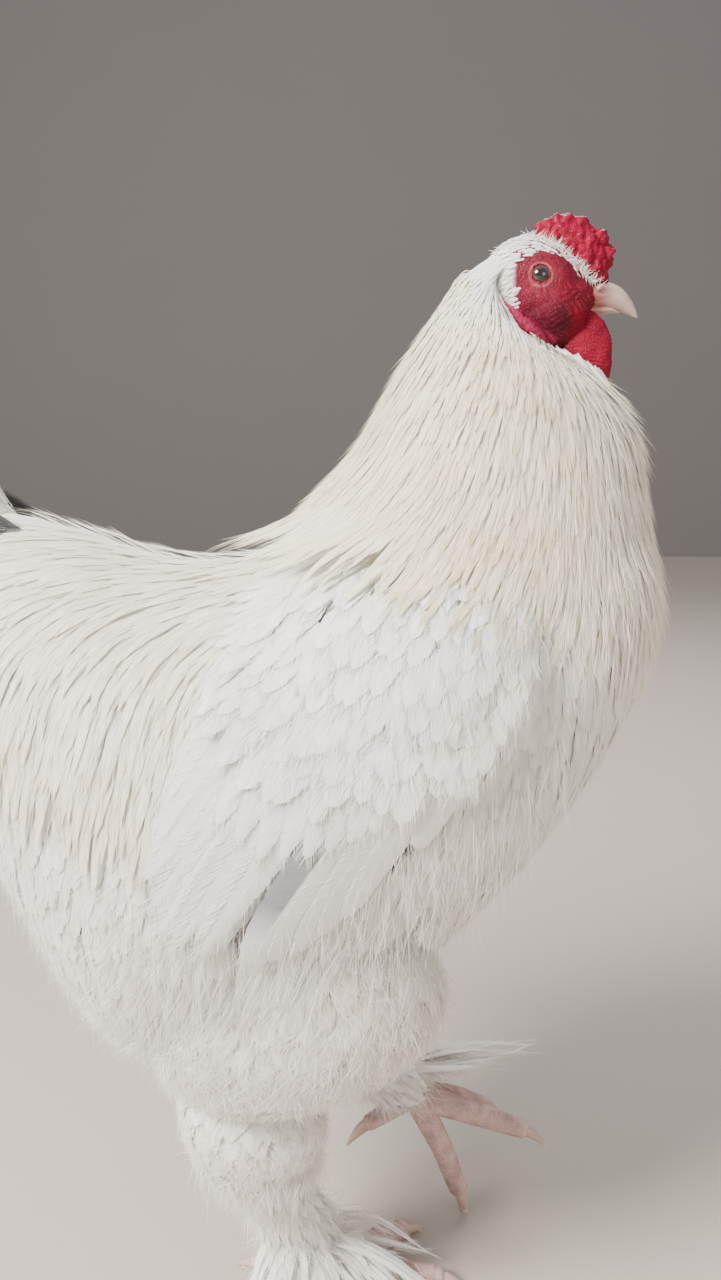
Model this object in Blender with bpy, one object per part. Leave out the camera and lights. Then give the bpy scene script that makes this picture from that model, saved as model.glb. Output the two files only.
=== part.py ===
"""A life-size Brahma rooster in mid-step, in metres, +Z up, +X the way it faces, +Y its left side.

The origin is the middle of the standing right foot's sole. Soft parts are lofts: each row of a table gives an
upper (or front) outline point and the lower (or rear) one across from it, the half width there, and the y of the
middle. Feathers are laid on the lofts by row, by angle round the loft (0 upper, 90 left) and by height over it.
"""

import math
import random

import bmesh
import bpy
import numpy as np
from mathutils import Matrix, Vector
from mathutils.bvhtree import BVHTree

GAP = 0.0003        # clearance between pieces that meet
SUNK = 0.004        # how deep a feather's root sits in its core
SEED = 7
AGREED = 1e-9       # how near the volumes from two solvers come where both are right, in cubic metres
OBJECT = "brahma_chicken"

# Lofts: upper x, upper z, lower x, lower z, half width, y of the middle. Both ends are single points.
TORSO = (
    (0.200, 0.472, 0.200, 0.472, 0.000, 0.0),
    (0.188, 0.532, 0.184, 0.412, 0.060, 0.0),
    (0.150, 0.560, 0.146, 0.347, 0.096, 0.0),
    (0.095, 0.554, 0.095, 0.284, 0.113, 0.0),
    (0.035, 0.528, 0.035, 0.237, 0.119, 0.0),
    (-0.030, 0.504, -0.030, 0.206, 0.119, 0.0),
    (-0.090, 0.503, -0.086, 0.186, 0.113, 0.0),
    (-0.146, 0.520, -0.134, 0.200, 0.096, 0.0),
    (-0.190, 0.528, -0.176, 0.266, 0.074, 0.0),
    (-0.222, 0.496, -0.208, 0.344, 0.048, 0.0),
    (-0.234, 0.420, -0.234, 0.420, 0.000, 0.0),
)
NECK = (
    (0.106, 0.660, 0.106, 0.660, 0.000, 0.0),
    (0.086, 0.668, 0.127, 0.617, 0.021, 0.0),
    (0.071, 0.647, 0.164, 0.603, 0.040, 0.0),
    (0.054, 0.622, 0.185, 0.576, 0.058, 0.0),
    (0.038, 0.594, 0.191, 0.545, 0.074, 0.0),
    (0.020, 0.564, 0.196, 0.512, 0.088, 0.0),
    (-0.014, 0.524, 0.200, 0.476, 0.101, 0.0),
    (-0.026, 0.494, 0.180, 0.436, 0.096, 0.0),
    (0.080, 0.400, 0.080, 0.400, 0.000, 0.0),
)
HEAD = (
    (0.094, 0.662, 0.094, 0.662, 0.000, 0.0),
    (0.103, 0.679, 0.100, 0.645, 0.0150, 0.0),
    (0.117, 0.6865, 0.114, 0.630, 0.0195, 0.0),
    (0.133, 0.6845, 0.131, 0.618, 0.0205, 0.0),
    (0.147, 0.675, 0.146, 0.622, 0.0170, 0.0),
    (0.156, 0.663, 0.155, 0.640, 0.0110, 0.0),
    (0.161, 0.6525, 0.161, 0.6525, 0.000, 0.0),
)
COMB = (
    (0.125, 0.686, 0.125, 0.686, 0.000, 0.0),
    (0.130, 0.6925, 0.128, 0.681, 0.0050, 0.0),
    (0.142, 0.6955, 0.137, 0.675, 0.0075, 0.0),
    (0.154, 0.6920, 0.147, 0.666, 0.0085, 0.0),
    (0.1615, 0.6845, 0.153, 0.658, 0.0075, 0.0),
    (0.1660, 0.6740, 0.158, 0.654, 0.0060, 0.0),
    (0.1665, 0.660, 0.1665, 0.660, 0.000, 0.0),
)
UPPER_BEAK = (
    (0.148, 0.654, 0.148, 0.654, 0.000, 0.0),
    (0.156, 0.6610, 0.155, 0.6482, 0.0080, 0.0),
    (0.165, 0.6620, 0.165, 0.6476, 0.0068, 0.0),
    (0.1745, 0.6592, 0.1735, 0.6462, 0.0050, 0.0),
    (0.1815, 0.6515, 0.1795, 0.6440, 0.0027, 0.0),
    (0.185, 0.6425, 0.185, 0.6425, 0.000, 0.0),
)
LOWER_BEAK = (
    (0.148, 0.6445, 0.148, 0.6445, 0.000, 0.0),
    (0.155, 0.6500, 0.155, 0.6395, 0.0066, 0.0),
    (0.164, 0.6490, 0.164, 0.6402, 0.0052, 0.0),
    (0.170, 0.6478, 0.170, 0.6418, 0.0032, 0.0),
    (0.1745, 0.6450, 0.1745, 0.6450, 0.000, 0.0),
)
# The right side's wattle and ear lobe; the left ones are their mirrors.
WATTLE = (
    (0.150, 0.648, 0.150, 0.648, 0.000, -0.0070),
    (0.162, 0.642, 0.144, 0.638, 0.0036, -0.0070),
    (0.1675, 0.633, 0.140, 0.628, 0.0048, -0.0090),
    (0.169, 0.6225, 0.143, 0.6185, 0.0044, -0.0105),
    (0.1685, 0.613, 0.154, 0.612, 0.0032, -0.0110),
    (0.166, 0.6065, 0.166, 0.6065, 0.000, -0.0110),
)
EAR_LOBE = (
    (0.101, 0.650, 0.101, 0.650, 0.000, -0.0150),
    (0.1085, 0.6475, 0.106, 0.641, 0.0034, -0.0190),
    (0.1175, 0.641, 0.114, 0.633, 0.0040, -0.0210),
    (0.126, 0.634, 0.1235, 0.6275, 0.0034, -0.0205),
    (0.132, 0.6265, 0.132, 0.6265, 0.000, -0.0180),
)
FOLD_RADIUS = 0.0013          # of the folds across the wattles and ear lobes
RIGHT_THIGH = (
    (-0.006, 0.325, -0.006, 0.325, 0.000, -0.060),
    (0.056, 0.300, -0.066, 0.296, 0.038, -0.066),
    (0.076, 0.252, -0.096, 0.246, 0.050, -0.064),
    (0.062, 0.212, -0.096, 0.200, 0.048, -0.057),
    (0.026, 0.188, -0.076, 0.176, 0.036, -0.050),
    (-0.028, 0.170, -0.028, 0.170, 0.000, -0.045),
)
LEFT_THIGH = (
    (0.014, 0.325, 0.014, 0.325, 0.000, 0.060),
    (0.078, 0.300, -0.052, 0.296, 0.038, 0.066),
    (0.096, 0.256, -0.070, 0.246, 0.050, 0.067),
    (0.081, 0.220, -0.074, 0.200, 0.046, 0.068),
    (0.044, 0.196, -0.056, 0.172, 0.034, 0.068),
    (-0.010, 0.158, -0.010, 0.158, 0.000, 0.068),
)
RIGHT_SHANK = (
    (-0.045, 0.186, -0.045, 0.186, 0.000, -0.038),
    (-0.009, 0.178, -0.082, 0.179, 0.031, -0.038),
    (0.005, 0.150, -0.091, 0.155, 0.041, -0.037),
    (0.000, 0.123, -0.080, 0.123, 0.034, -0.034),
    (-0.010, 0.099, -0.056, 0.097, 0.022, -0.029),
    (0.001, 0.073, -0.045, 0.070, 0.018, -0.021),
    (0.010, 0.044, -0.034, 0.040, 0.016, -0.012),
    (-0.008, 0.019, -0.008, 0.019, 0.000, -0.006),
)
LEFT_SHANK = (
    (-0.040, 0.182, -0.040, 0.182, 0.000, 0.070),
    (-0.001, 0.193, -0.045, 0.149, 0.031, 0.070),
    (0.026, 0.177, -0.024, 0.123, 0.037, 0.071),
    (0.042, 0.153, 0.002, 0.107, 0.031, 0.073),
    (0.055, 0.128, 0.027, 0.096, 0.020, 0.075),
    (0.070, 0.110, 0.046, 0.084, 0.016, 0.077),
    (0.072, 0.086, 0.072, 0.086, 0.000, 0.079),
)
# Toes from the palm out: x, y, z, radius.
RIGHT_TOES = {
    "inner": ((0.000, 0.004, 0.013, 0.0095), (0.028, 0.022, 0.009, 0.0080), (0.054, 0.038, 0.0072, 0.0070)),
    "middle": ((0.000, 0.000, 0.013, 0.0100), (0.040, -0.003, 0.009, 0.0085), (0.078, -0.007, 0.0072, 0.0070)),
    "outer": ((0.000, -0.004, 0.013, 0.0095), (0.028, -0.024, 0.009, 0.0080), (0.052, -0.044, 0.0072, 0.0068)),
    "hind": ((0.000, 0.002, 0.015, 0.0090), (-0.024, 0.006, 0.009, 0.0070), (-0.042, 0.009, 0.0066, 0.0060)),
}
LEFT_TOES = {
    "inner": ((0.066, 0.078, 0.088, 0.0095), (0.086, 0.072, 0.050, 0.0080), (0.098, 0.068, 0.019, 0.0070)),
    "middle": ((0.066, 0.080, 0.088, 0.0100), (0.110, 0.080, 0.073, 0.0085), (0.146, 0.080, 0.060, 0.0070)),
    "outer": ((0.066, 0.083, 0.088, 0.0095), (0.098, 0.102, 0.072, 0.0080), (0.124, 0.118, 0.052, 0.0068)),
    "hind": ((0.066, 0.080, 0.090, 0.0090), (0.046, 0.078, 0.076, 0.0070), (0.032, 0.076, 0.068, 0.0060)),
}
CLAW_LENGTH = 0.016
CLAW_RADIUS = 0.0046
CLAW_DROOP = 0.008
PAD_RADIUS = 0.0125           # the pad under the standing foot's palm, pressed flat

EYE_CENTRE = (0.1254, 0.0142, 0.664)
EYE_RADIUS = 0.0065
LID_RING = 0.0058             # half the height of the eye's opening, and the lids' rim round it
LID_LONGER = 1.1              # the opening's length as a share of its height
LID_REACH = 0.0038            # how far the lids' rim lies out from the eye's centre
LID_THICKNESS = 0.0014
NOSTRIL = (0.1635, 0.0066, 0.6565)
NOSTRIL_RADIUS = 0.0014

# The comb's three rows of points: place along the loft, angle round it, height, base radius.
COMB_MIDDLE = (
    (1.3, 0, 0.0046, 0.0046), (2.1, 0, 0.0058, 0.0050), (2.9, 0, 0.0050, 0.0050), (3.6, 0, 0.0074, 0.0046),
    (4.4, 0, 0.0060, 0.0044),
)
COMB_SIDES = (
    (1.7, 58, 0.0030, 0.0042), (2.6, 58, 0.0036, 0.0046), (3.4, 58, 0.0036, 0.0044), (4.2, 62, 0.0034, 0.0040),
    (5.0, 60, 0.0030, 0.0036),
)
COMB_POINT_SUNK = 0.0025

# A feather's stations before its point, and its half widths there as shares of the widest.
STATIONS = (0.0, 0.45, 0.86)
POINTED = (0.70, 1.00, 0.50)
ROUNDED = (0.62, 1.00, 0.80)
VANE_THICKNESS = 0.0018

HACKLE_DEPTH = 0.009          # how far the neck's core lies under the feather tips
HACKLE_TIERS = (6, 7, 8, 9, 10, 11)
HACKLE_FIRST = 0.75           # row of the first tier's roots
HACKLE_STEP = 0.82            # rows from one tier's roots to the next
HACKLE_LENGTH = 1.60          # in rows
HACKLE_LAP = 0.84             # a feather's width as a share of the space between two of its tier
BARE_THROAT = 80              # the first tier goes no further round than this, so face and throat stay bare

# Saddle feathers of each side: root row and angle, tip row and angle.
SADDLE_FEATHERS = (
    (5.3, 18, 6.6, 58), (6.2, 10, 7.7, 48), (7.1, 12, 8.5, 48),
    (5.8, 36, 6.7, 80), (6.7, 28, 7.6, 70), (7.6, 30, 8.5, 68),
    (6.2, 58, 6.9, 102), (7.0, 50, 7.8, 92), (7.9, 45, 8.7, 88),
    (7.2, 77, 7.8, 116),
)
SADDLE_HALF_WIDTH = 0.0168
SADDLE_RISE = 0.0075
SADDLE_THICKNESS = 0.0022
# Locks of the rear fluff, the same way.
FLUFF_LOCKS = (
    (6.5, 116, 6.9, 148), (7.1, 112, 7.45, 148), (7.75, 110, 8.05, 146), (8.35, 108, 8.6, 144),
    (6.75, 144, 6.95, 170), (7.5, 142, 7.7, 168),
)
FLUFF_HALF_WIDTH = 0.017
FLUFF_RISE = 0.008
FLUFF_THICKNESS = 0.0040

# Locks of a leg: root row, tip row, how many round it, first angle, half width.
LEG_LOCK_RISE = 0.005
THIGH_LOCK_THICKNESS = 0.0034
SHANK_LOCK_THICKNESS = 0.0030
THIGH_LOCKS = ((2.9, 4.4, 7, 20, 0.019),)
SHANK_LOCKS = ((1.8, 3.3, 4, 0, 0.016), (2.5, 4.0, 3, 45, 0.016))
# Feathers over the toes: root x, y and z, tip x, y and z, for the standing and the lifted foot.
RIGHT_FOOT_FEATHERS = (
    (0.002, -0.014, 0.046, 0.088, -0.026, 0.006), (0.000, -0.018, 0.044, 0.078, -0.054, 0.005),
    (-0.004, -0.020, 0.044, 0.056, -0.076, 0.005), (-0.008, -0.022, 0.046, 0.028, -0.088, 0.005),
    (-0.014, -0.022, 0.048, -0.004, -0.090, 0.006), (-0.020, -0.020, 0.050, -0.034, -0.076, 0.008),
    (-0.024, -0.014, 0.052, -0.058, -0.048, 0.012), (0.002, -0.006, 0.046, 0.082, 0.006, 0.010),
)
LEFT_FOOT_FEATHERS = (
    (0.056, 0.080, 0.110, 0.163, 0.092, 0.118), (0.056, 0.084, 0.106, 0.150, 0.124, 0.098),
    (0.054, 0.088, 0.104, 0.128, 0.146, 0.078), (0.050, 0.090, 0.104, 0.094, 0.158, 0.064),
    (0.044, 0.092, 0.106, 0.058, 0.156, 0.062), (0.038, 0.090, 0.110, 0.026, 0.140, 0.070),
    (0.034, 0.084, 0.116, 0.004, 0.112, 0.084),
)
FOOT_FEATHER_HALF_WIDTH = 0.0095
FOOT_FEATHER_BOW = 0.006

# The wing from the side, in x and z. Its upper front is one smooth pad that the feathers' roots sink into.
WING_PAD = (
    (0.055, 0.520), (0.098, 0.512), (0.121, 0.486), (0.121, 0.456), (0.103, 0.425), (0.074, 0.404),
    (0.036, 0.408), (0.000, 0.420), (-0.030, 0.440), (-0.034, 0.470), (-0.012, 0.496), (0.018, 0.510),
)
WING_PAD_HEIGHT = 0.017
# Feathers of the wing: root x and z, tip x and z, half width, height of the root, height of the tip.
FLIGHT_FEATHERS = (
    (0.080, 0.424, 0.016, 0.328, 0.0110, 0.0050, 0.0030), (0.074, 0.428, -0.010, 0.307, 0.0125, 0.0058, 0.0042),
    (0.060, 0.433, -0.036, 0.298, 0.0135, 0.0066, 0.0058), (0.038, 0.440, -0.060, 0.306, 0.0135, 0.0072, 0.0064),
    (0.018, 0.448, -0.080, 0.320, 0.0135, 0.0078, 0.0068), (0.002, 0.457, -0.084, 0.350, 0.0130, 0.0080, 0.0070),
    (-0.007, 0.466, -0.075, 0.382, 0.0125, 0.0080, 0.0068), (-0.010, 0.474, -0.063, 0.412, 0.0115, 0.0078, 0.0064),
    (-0.008, 0.480, -0.056, 0.441, 0.0105, 0.0072, 0.0060), (0.098, 0.446, 0.053, 0.367, 0.0095, 0.0070, 0.0056),
    (0.104, 0.460, 0.079, 0.398, 0.0095, 0.0080, 0.0068),
)
COVERTS = (
    (0.070, 0.440, 0.042, 0.382, 0.0105, 0.0098, 0.0094), (0.050, 0.437, 0.019, 0.372, 0.0105, 0.0103, 0.0102),
    (0.030, 0.437, -0.003, 0.364, 0.0105, 0.0105, 0.0106), (0.010, 0.442, -0.027, 0.363, 0.0105, 0.0101, 0.0106),
    (-0.007, 0.451, -0.048, 0.379, 0.0105, 0.0094, 0.0102),
    (0.074, 0.450, 0.051, 0.400, 0.0105, 0.0125, 0.0127), (0.052, 0.450, 0.023, 0.397, 0.0105, 0.0131, 0.0136),
    (0.028, 0.454, -0.006, 0.398, 0.0105, 0.0132, 0.0139), (0.006, 0.461, -0.033, 0.410, 0.0105, 0.0125, 0.0135),
)
FLIGHT_ROLL = 0.16
COVERT_ROLL = 0.14
# The wing's outer outline, used to cut what lies below it clear.
WING_BLOCK = (
    (0.060, 0.522), (0.105, 0.512), (0.125, 0.480), (0.121, 0.444), (0.096, 0.404), (0.058, 0.364),
    (0.012, 0.320), (-0.032, 0.294), (-0.066, 0.298), (-0.090, 0.325), (-0.082, 0.380), (-0.060, 0.446),
    (-0.030, 0.490), (0.020, 0.514),
)

TAIL_CORE = (
    (-0.150, 0.490, -0.150, 0.490, 0.000, 0.0),
    (-0.185, 0.540, -0.205, 0.484, 0.022, 0.0),
    (-0.212, 0.566, -0.246, 0.496, 0.028, 0.0),
    (-0.240, 0.578, -0.272, 0.514, 0.022, 0.0),
    (-0.268, 0.556, -0.268, 0.556, 0.000, 0.0),
)
# Tail feathers of each side from the top down: root height, tip x, y and z, bow.
TAIL_ROOT = (-0.205, 0.512)
MAIN_TAIL = (
    (0.046, -0.332, 0.009, 0.664, 0.004), (0.037, -0.357, 0.027, 0.644, 0.006), (0.027, -0.371, 0.044, 0.616, 0.007),
    (0.017, -0.369, 0.058, 0.584, 0.008), (0.006, -0.356, 0.068, 0.552, 0.008),
)
TAIL_COVERTS = (
    (0.051, -0.300, 0.024, 0.640, 0.012), (0.039, -0.318, 0.051, 0.604, 0.014), (0.025, -0.317, 0.069, 0.568, 0.015),
    (0.009, -0.300, 0.076, 0.532, 0.013),
)
TAIL_HALF_WIDTH = 0.017
TAIL_SLANT = 0.25

# Colours as red, green, blue, with roughness.
FINISHES = {
    "white_feather": ((0.80, 0.77, 0.68), 0.75),
    "cream_feather": ((0.80, 0.73, 0.56), 0.70),
    "dark_feather": ((0.09, 0.09, 0.10), 0.55),
    "red_skin": ((0.52, 0.03, 0.05), 0.50),
    "horn": ((0.72, 0.55, 0.43), 0.40),
    "toe_skin": ((0.66, 0.45, 0.38), 0.60),
    "eye": ((0.05, 0.02, 0.01), 0.08),
}


def clear_scene():
    """Removes the scene's objects and makes the collection for the parts."""
    for obj in list(bpy.data.objects):
        bpy.data.objects.remove(obj)
    bpy.context.scene.collection.children.link(bpy.data.collections.new(OBJECT))


def finish_of(name):
    """The material of that name, made once."""
    found = bpy.data.materials.get(name)
    if found:
        return found
    colour, roughness = FINISHES[name]
    made = bpy.data.materials.new(name)
    made.use_nodes = True
    shader = made.node_tree.nodes["Principled BSDF"]
    shader.inputs["Base Color"].default_value = (*colour, 1.0)
    shader.inputs["Roughness"].default_value = roughness
    made.diffuse_color = (*colour, 1.0)
    return made


def object_of(bm, name):
    """A linked object from a bmesh, which is freed."""
    mesh = bpy.data.meshes.new(name)
    bmesh.ops.recalc_face_normals(bm, faces=bm.faces)
    bm.to_mesh(mesh)
    bm.free()
    obj = bpy.data.objects.new(name, mesh)
    bpy.context.scene.collection.objects.link(obj)
    return obj


class Form:
    """A smooth body through a table's rows. Beyond a pointed end its curve goes on as its own mirror."""

    def __init__(self, table, inset=0.0):
        rows = np.array(table, float)
        ends = [[row[2], row[3], row[0], row[1], -row[4], row[5]] for row in (rows[1], rows[-2])]
        self.rows = np.vstack([ends[0], rows, ends[1]])
        self.last = len(table) - 1
        self.inset = inset

    def row(self, place):
        """The outline points, half width and middle y at a place along the rows."""
        i = min(int(place), self.last - 1)
        t = place - i
        before, start, end, after = self.rows[i : i + 4]
        return 0.5 * (
            2 * start + (end - before) * t + (2 * before - 5 * start + 4 * end - after) * t**2
            + (3 * start - before - 3 * end + after) * t**3
        )

    def on_surface(self, place, angle):
        upper_x, upper_z, lower_x, lower_z, half, y = self.row(place)
        rise, side = math.cos(math.radians(angle)), math.sin(math.radians(angle))
        x = (upper_x + lower_x + rise * (upper_x - lower_x)) / 2
        z = (upper_z + lower_z + rise * (upper_z - lower_z)) / 2
        return np.array([x, y + side * half, z])

    def normal(self, place, angle):
        near, far = max(place - 0.05, 0.02), min(place + 0.05, self.last - 0.02)
        along = self.on_surface(far, angle) - self.on_surface(near, angle)
        around = self.on_surface(place, angle + 2) - self.on_surface(place, angle - 2)
        out = np.cross(along, around)
        out /= np.linalg.norm(out)
        row = self.row(place)
        middle = np.array([(row[0] + row[2]) / 2, row[5], (row[1] + row[3]) / 2])
        return out if out @ (self.on_surface(place, angle) - middle) > 0 else -out

    def depth(self, place):
        """How far the inset moves the surface in: less where the body is thin."""
        return min(self.inset, 0.25 * self.row(place)[4])

    def point(self, place, angle, height=0.0):
        return self.on_surface(place, angle) + (height - self.depth(place)) * self.normal(place, angle)

    def solid(self, name, steps=3, sides=24):
        """The body as a closed mesh. The diagonals of its faces mirror across the middle plane."""
        places = np.arange(1, steps * self.last) / steps
        bm = bmesh.new()
        ends = [bm.verts.new(self.end(place)) for place in (0, self.last)]
        rings = [[bm.verts.new(self.point(place, 360 * i / sides)) for i in range(sides)] for place in places]
        for i in range(sides):
            j = (i + 1) % sides
            bm.faces.new((ends[0], rings[0][i], rings[0][j]))
            bm.faces.new((ends[1], rings[-1][i], rings[-1][j]))
            for near, far in zip(rings, rings[1:]):
                if i < sides // 2:
                    bm.faces.new((near[i], near[j], far[j]))
                    bm.faces.new((near[i], far[j], far[i]))
                else:
                    bm.faces.new((near[i], near[j], far[i]))
                    bm.faces.new((near[j], far[j], far[i]))
        return object_of(bm, name)

    def end(self, place):
        """An end point moved in by the inset."""
        row = self.row(place)
        inner = self.row(1 if place == 0 else self.last - 1)
        tip = np.array([row[0], row[5], row[1]])
        middle = np.array([(inner[0] + inner[2]) / 2, inner[5], (inner[1] + inner[3]) / 2])
        return tip + (middle - tip) / np.linalg.norm(middle - tip) * self.inset


def feather(centres, normals, half_width, shape=POINTED, thickness=VANE_THICKNESS, roll=0.0):
    """A closed flat feather: a lozenge section at each station, and a point at the last centre."""
    bm = bmesh.new()
    rings = []
    last = len(centres) - 1
    for i in range(last):
        heading = Vector(centres[i + 1] - centres[max(i - 1, 0)]).normalized()
        up = Vector(normals[i])
        up = (up - up.dot(heading) * heading).normalized()
        side = heading.cross(up)
        side = math.cos(roll) * side + math.sin(roll) * up
        up = side.cross(heading)
        middle = Vector(centres[i])
        reach = half_width * shape[i]
        thick = thickness * (1.0 if i < last - 1 else 0.75) / 2
        corners = (-side * reach, up * thick, side * reach, -up * thick)
        rings.append([bm.verts.new(middle + corner) for corner in corners])
    point = bm.verts.new(Vector(centres[last]))
    for near, far in zip(rings, rings[1:]):
        for i in range(4):
            j = (i + 1) % 4
            # Upper and lower faces share the same diagonals.
            if i in (0, 3):
                bm.faces.new((near[i], near[j], far[j] if i == 0 else far[i]))
                bm.faces.new((near[i], far[j], far[i]) if i == 0 else (near[j], far[j], far[i]))
            else:
                bm.faces.new((near[i], near[j], far[j] if i == 1 else far[i]))
                bm.faces.new((near[i], far[j], far[i]) if i == 1 else (near[j], far[j], far[i]))
    bm.faces.new(rings[0])
    for i in range(4):
        bm.faces.new((rings[-1][i], rings[-1][(i + 1) % 4], point))
    return object_of(bm, "feather")


def feather_on(form, root, tip, half_width, rise, shape=POINTED, thickness=VANE_THICKNESS):
    """A feather laid on a form from root (row, angle) to tip, rising from under the surface to the rise."""
    centres, normals = [], []
    for share in (*STATIONS, 1.0):
        place = root[0] + (tip[0] - root[0]) * share
        angle = root[1] + (tip[1] - root[1]) * share
        centres.append(form.point(place, angle, -SUNK + (rise + SUNK) * share))
        normals.append(form.normal(place, angle))
    return feather(centres, normals, half_width, shape, thickness)


def tube(name, line, sides=7):
    """A round tapered tube with domed ends along (x, y, z, radius) rows."""
    bm = bmesh.new()
    points = [Vector(row[:3]) for row in line]
    radii = [row[3] for row in line]
    start = (points[0] - points[1]).normalized()
    end = (points[-1] - points[-2]).normalized()
    centres = [points[0] + start * radii[0] * 0.7, *points, points[-1] + end * radii[-1] * 0.6]
    sizes = [radii[0] * 0.65, *radii, radii[-1] * 0.7]
    rings = []
    for i, (centre, radius) in enumerate(zip(centres, sizes)):
        heading = (centres[min(i + 1, len(centres) - 1)] - centres[max(i - 1, 0)]).normalized()
        side = heading.cross(Vector((0, 0, 1))).normalized()
        rise = side.cross(heading)
        rings.append([
            bm.verts.new(centre + radius * (math.cos(a) * rise + math.sin(a) * side))
            for a in (2 * math.pi * k / sides for k in range(sides))
        ])
    for near, far in zip(rings, rings[1:]):
        for i in range(sides):
            j = (i + 1) % sides
            bm.faces.new((near[i], near[j], far[j], far[i]))
    bm.faces.new(rings[0])
    bm.faces.new(rings[-1])
    return object_of(bm, name)


def ball(name, centre, radius, segments=12, rings=7):
    bm = bmesh.new()
    bmesh.ops.create_uvsphere(bm, u_segments=segments, v_segments=rings, radius=radius)
    bmesh.ops.translate(bm, vec=centre, verts=bm.verts)
    return object_of(bm, name)


def spike(base, out, height, radius, sides=5):
    """A blunt cone with its base sunk under the surface."""
    bm = bmesh.new()
    base, out = Vector(base), Vector(out)
    across = out.orthogonal().normalized()
    other = out.cross(across)
    rings = []
    for level, size in ((-COMB_POINT_SUNK, 1.0), (0.7 * height, 0.62)):
        rings.append([
            bm.verts.new(base + out * level + radius * size * (math.cos(a) * across + math.sin(a) * other))
            for a in (2 * math.pi * k / sides for k in range(sides))
        ])
    top = bm.verts.new(base + out * height)
    for near, far in zip(rings, rings[1:]):
        for i in range(sides):
            j = (i + 1) % sides
            bm.faces.new((near[i], near[j], far[j], far[i]))
    bm.faces.new(rings[0])
    for i in range(sides):
        bm.faces.new((rings[-1][i], rings[-1][(i + 1) % sides], top))
    return object_of(bm, "spike")


def copy_of(obj):
    twin = obj.copy()
    twin.data = obj.data.copy()
    bpy.context.scene.collection.objects.link(twin)
    return twin


def grown(obj, distance, keep=True):
    """A hidden copy of obj with every vertex moved out along its normal; obj goes unless it is kept."""
    bm = bmesh.new()
    bm.from_mesh(obj.data)
    bm.normal_update()
    for vert, normal in [(v, v.normal.copy()) for v in bm.verts]:
        vert.co += normal * distance
    copy = object_of(bm, obj.name + "_grown")
    copy.hide_render = True
    if not keep:
        bpy.data.objects.remove(obj)
    return copy


def mirrored(obj, name):
    """obj's mesh mirrored across the middle plane, as a new object."""
    bm = bmesh.new()
    bm.from_mesh(obj.data)
    bmesh.ops.scale(bm, vec=(1, -1, 1), verts=bm.verts)
    return object_of(bm, name)


def volume_of(mesh):
    """The volume a mesh encloses, or zero where its surface isn't closed."""
    bm = bmesh.new()
    bm.from_mesh(mesh)
    closed = all(edge.is_manifold for edge in bm.edges)
    volume = bm.calc_volume(signed=True) if closed else 0.0
    bm.free()
    return volume


def combine(obj, others, operation):
    """Applies one Boolean of obj with a collection of the others, and removes them.

    The EXACT solver's result is taken where it is closed and its volume agrees with MANIFOLD's, else MANIFOLD's.
    """
    tools = bpy.data.collections.new("tools")
    bpy.context.scene.collection.children.link(tools)
    for other in others:
        tools.objects.link(other)
    step = obj.modifiers.new("combine", "BOOLEAN")
    step.operation = operation
    step.operand_type = "COLLECTION"
    step.collection = tools
    results = []
    for solver in ("EXACT", "MANIFOLD"):
        step.solver = solver
        graph = bpy.context.evaluated_depsgraph_get()
        results.append(bpy.data.meshes.new_from_object(obj.evaluated_get(graph)))
    volumes = [volume_of(mesh) for mesh in results]
    obj.modifiers.remove(step)
    obj.data = results[0 if abs(volumes[0] - volumes[1]) < AGREED else 1]
    for other in others:
        bpy.data.objects.remove(other)
    bpy.data.collections.remove(tools)
    return obj


def cut(obj, *cutters):
    """Cuts obj by each of the cutters, which go."""
    for cutter in cutters:
        combine(obj, [cutter], "DIFFERENCE")
    return obj


def finished(obj, name, finish, smooth_angle=40):
    """Keeps obj's largest closed surface, names the node, and gives it its material and smooth shading."""
    bm = bmesh.new()
    bm.from_mesh(obj.data)
    left, surfaces = set(bm.faces), []
    while left:
        surface, edge = set(), [left.pop()]
        while edge:
            face = edge.pop()
            surface.add(face)
            near = {f for e in face.edges for f in e.link_faces} & left
            left -= near
            edge.extend(near)
        surfaces.append(surface)

    def volume(faces):
        return abs(sum(f.calc_center_median().dot(f.normal) * f.calc_area() for f in faces))

    largest = max(surfaces, key=volume)
    bmesh.ops.delete(bm, geom=[f for f in bm.faces if f not in largest], context="FACES")
    bm.to_mesh(obj.data)
    bm.free()
    obj.name = obj.data.name = name
    parts = bpy.data.collections.get(OBJECT)
    for home in list(obj.users_collection):
        home.objects.unlink(obj)
    parts.objects.link(obj)
    obj.data.materials.clear()
    obj.data.materials.append(finish_of(finish))
    obj.data.shade_smooth()
    obj.data.set_sharp_from_angle(angle=math.radians(smooth_angle))
    return obj


def below_floor():
    bm = bmesh.new()
    bmesh.ops.create_cube(bm, size=1.0)
    bmesh.ops.translate(bm, vec=(0, 0, -0.5), verts=bm.verts)
    block = object_of(bm, "floor")
    block.hide_render = True
    return block


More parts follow.
